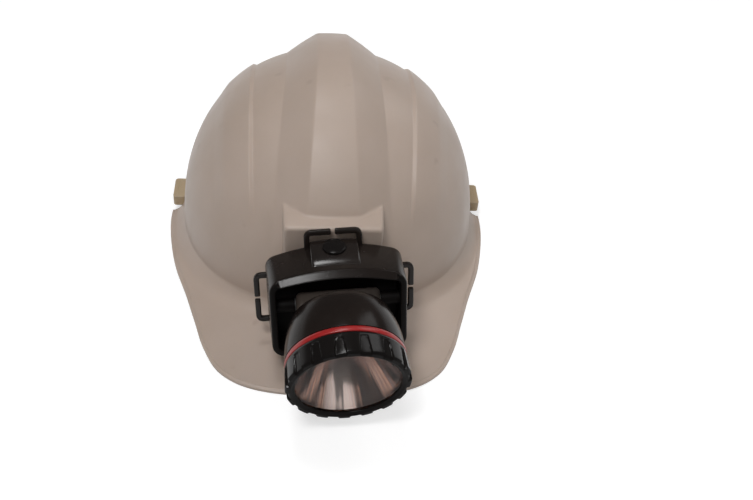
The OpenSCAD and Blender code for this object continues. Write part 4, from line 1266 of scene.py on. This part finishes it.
def paint(materials):
    """Gives every CAD node and every new piece its slot's material."""
    slots = {s["node"]: s["material_slot"] for s in frame["record"]["subparts"]}
    for name, made in frame["nodes"].items():
        made.data.materials.clear()
        made.data.materials.append(materials[slots[name]])
    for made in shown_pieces():
        if made.get("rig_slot") and not made.data.materials:
            made.data.materials.append(materials[made["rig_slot"]])
    # The housing and the bezel also take the painted-shade black, for their inner and front faces
    for name in ("lamp_housing_shell", "bezel_ring"):
        bpy.data.objects[name].data.materials.append(materials["case_inside"])


# ---- stage
def seen_rays(m):
    """1 for the rays that see the background straight, in a reflection or through glass."""
    path = m.add("LightPath").outputs
    return m.math("MAXIMUM", m.math("MAXIMUM", path["Is Camera Ray"], path["Is Glossy Ray"]),
                  path["Is Transmission Ray"])


def make_stage():
    """A pale floor. Seen rays get FLOOR_GLOW on top, which turns it white outside the shadow."""
    a = FLOOR_SIZE
    corners = [(-a, -a, 0), (a, -a, 0), (a, a, 0), (-a, a, 0)]
    mesh = bpy.data.meshes.new("floor")
    mesh.from_pydata(corners, [], [(0, 1, 2, 3)])
    floor = add_object("floor", mesh)
    m = Surface("floor")
    glow = m.math("MULTIPLY", seen_rays(m), FLOOR_GLOW)
    mesh.materials.append(m.finish(0.55, 0.9, Emission_Color=1, Emission_Strength=glow))
    floor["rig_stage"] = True


def make_lights():
    for name, position, size, power in (
            ("key", (-0.42, -0.74, 1.7), (0.45, 0.45), 13),
            ("fill", (1.2, -1.0, 1.1), (1.2, 1.2), 3),
            ("front", (-0.1, -1.35, 1.65), (0.9, 1.2), 2.6),
            ("back", (1.05, 0.88, 1.4), (0.5, 1.1), 4.5),
            ("top", (-0.2, 0.22, 1.75), (0.36, 0.3), 5)):
        light = bpy.data.lights.new(name, "AREA")
        light.shape = "RECTANGLE"
        light.size, light.size_y = size
        light.energy = power
        made = add_object(name, light)
        made.location = position
        made.rotation_mode = "QUATERNION"
        made.rotation_quaternion = (Vector(AIM) - Vector(position)).to_track_quat("-Z", "Y")


def make_world():
    """Reflections and glass see a white backdrop that gives way to a dim ceiling overhead."""
    scene.world = bpy.data.worlds.new("world")
    m = Nodes(scene.world)
    up = m.add("SeparateXYZ", m.coords("Generated")).outputs["Z"]
    backdrop = m.map_range(up, From_Min=0.2, From_Max=0.03, To_Min=CEILING, To_Max=1)
    level = m.add("Mix", data_type="FLOAT", Factor=seen_rays(m), A=WORLD_LIGHT, B=backdrop)
    camera = m.add("LightPath").outputs["Is Camera Ray"]
    background = m.tree.nodes["Background"].inputs
    m.fill(background["Strength"], m.math("MAXIMUM", level.outputs["Result"], camera))
    m.fill(background["Color"], 1)


def make_camera():
    data = bpy.data.cameras.new("camera")
    data.sensor_width = SENSOR
    data.lens = FOCAL_PX / IMAGE_WIDTH * SENSOR
    data.clip_start, data.clip_end = 0.05, 20
    matrix = Matrix(CAMERA_AXES).to_4x4()
    matrix.translation = Vector(CAMERA_POS) * MM
    scene.camera = add_object("camera", data)
    scene.camera.matrix_world = matrix


# ---- scene
scene.view_settings.view_transform = "Standard"
make_camera()
make_stage()
make_lights()
make_world()
helmet_shell()
shell_fittings()
lamp_housing()
strap_loops()
switch()
button_coil()
tilt_block()
hood()
bezel()
optics()
crown_strap("left", 90 - STRAP_ANGLE, 0)
crown_strap("right", 90 + STRAP_ANGLE, STRAP_THICKNESS + 0.4)
sweatband()
size_knob()
paint(make_materials())
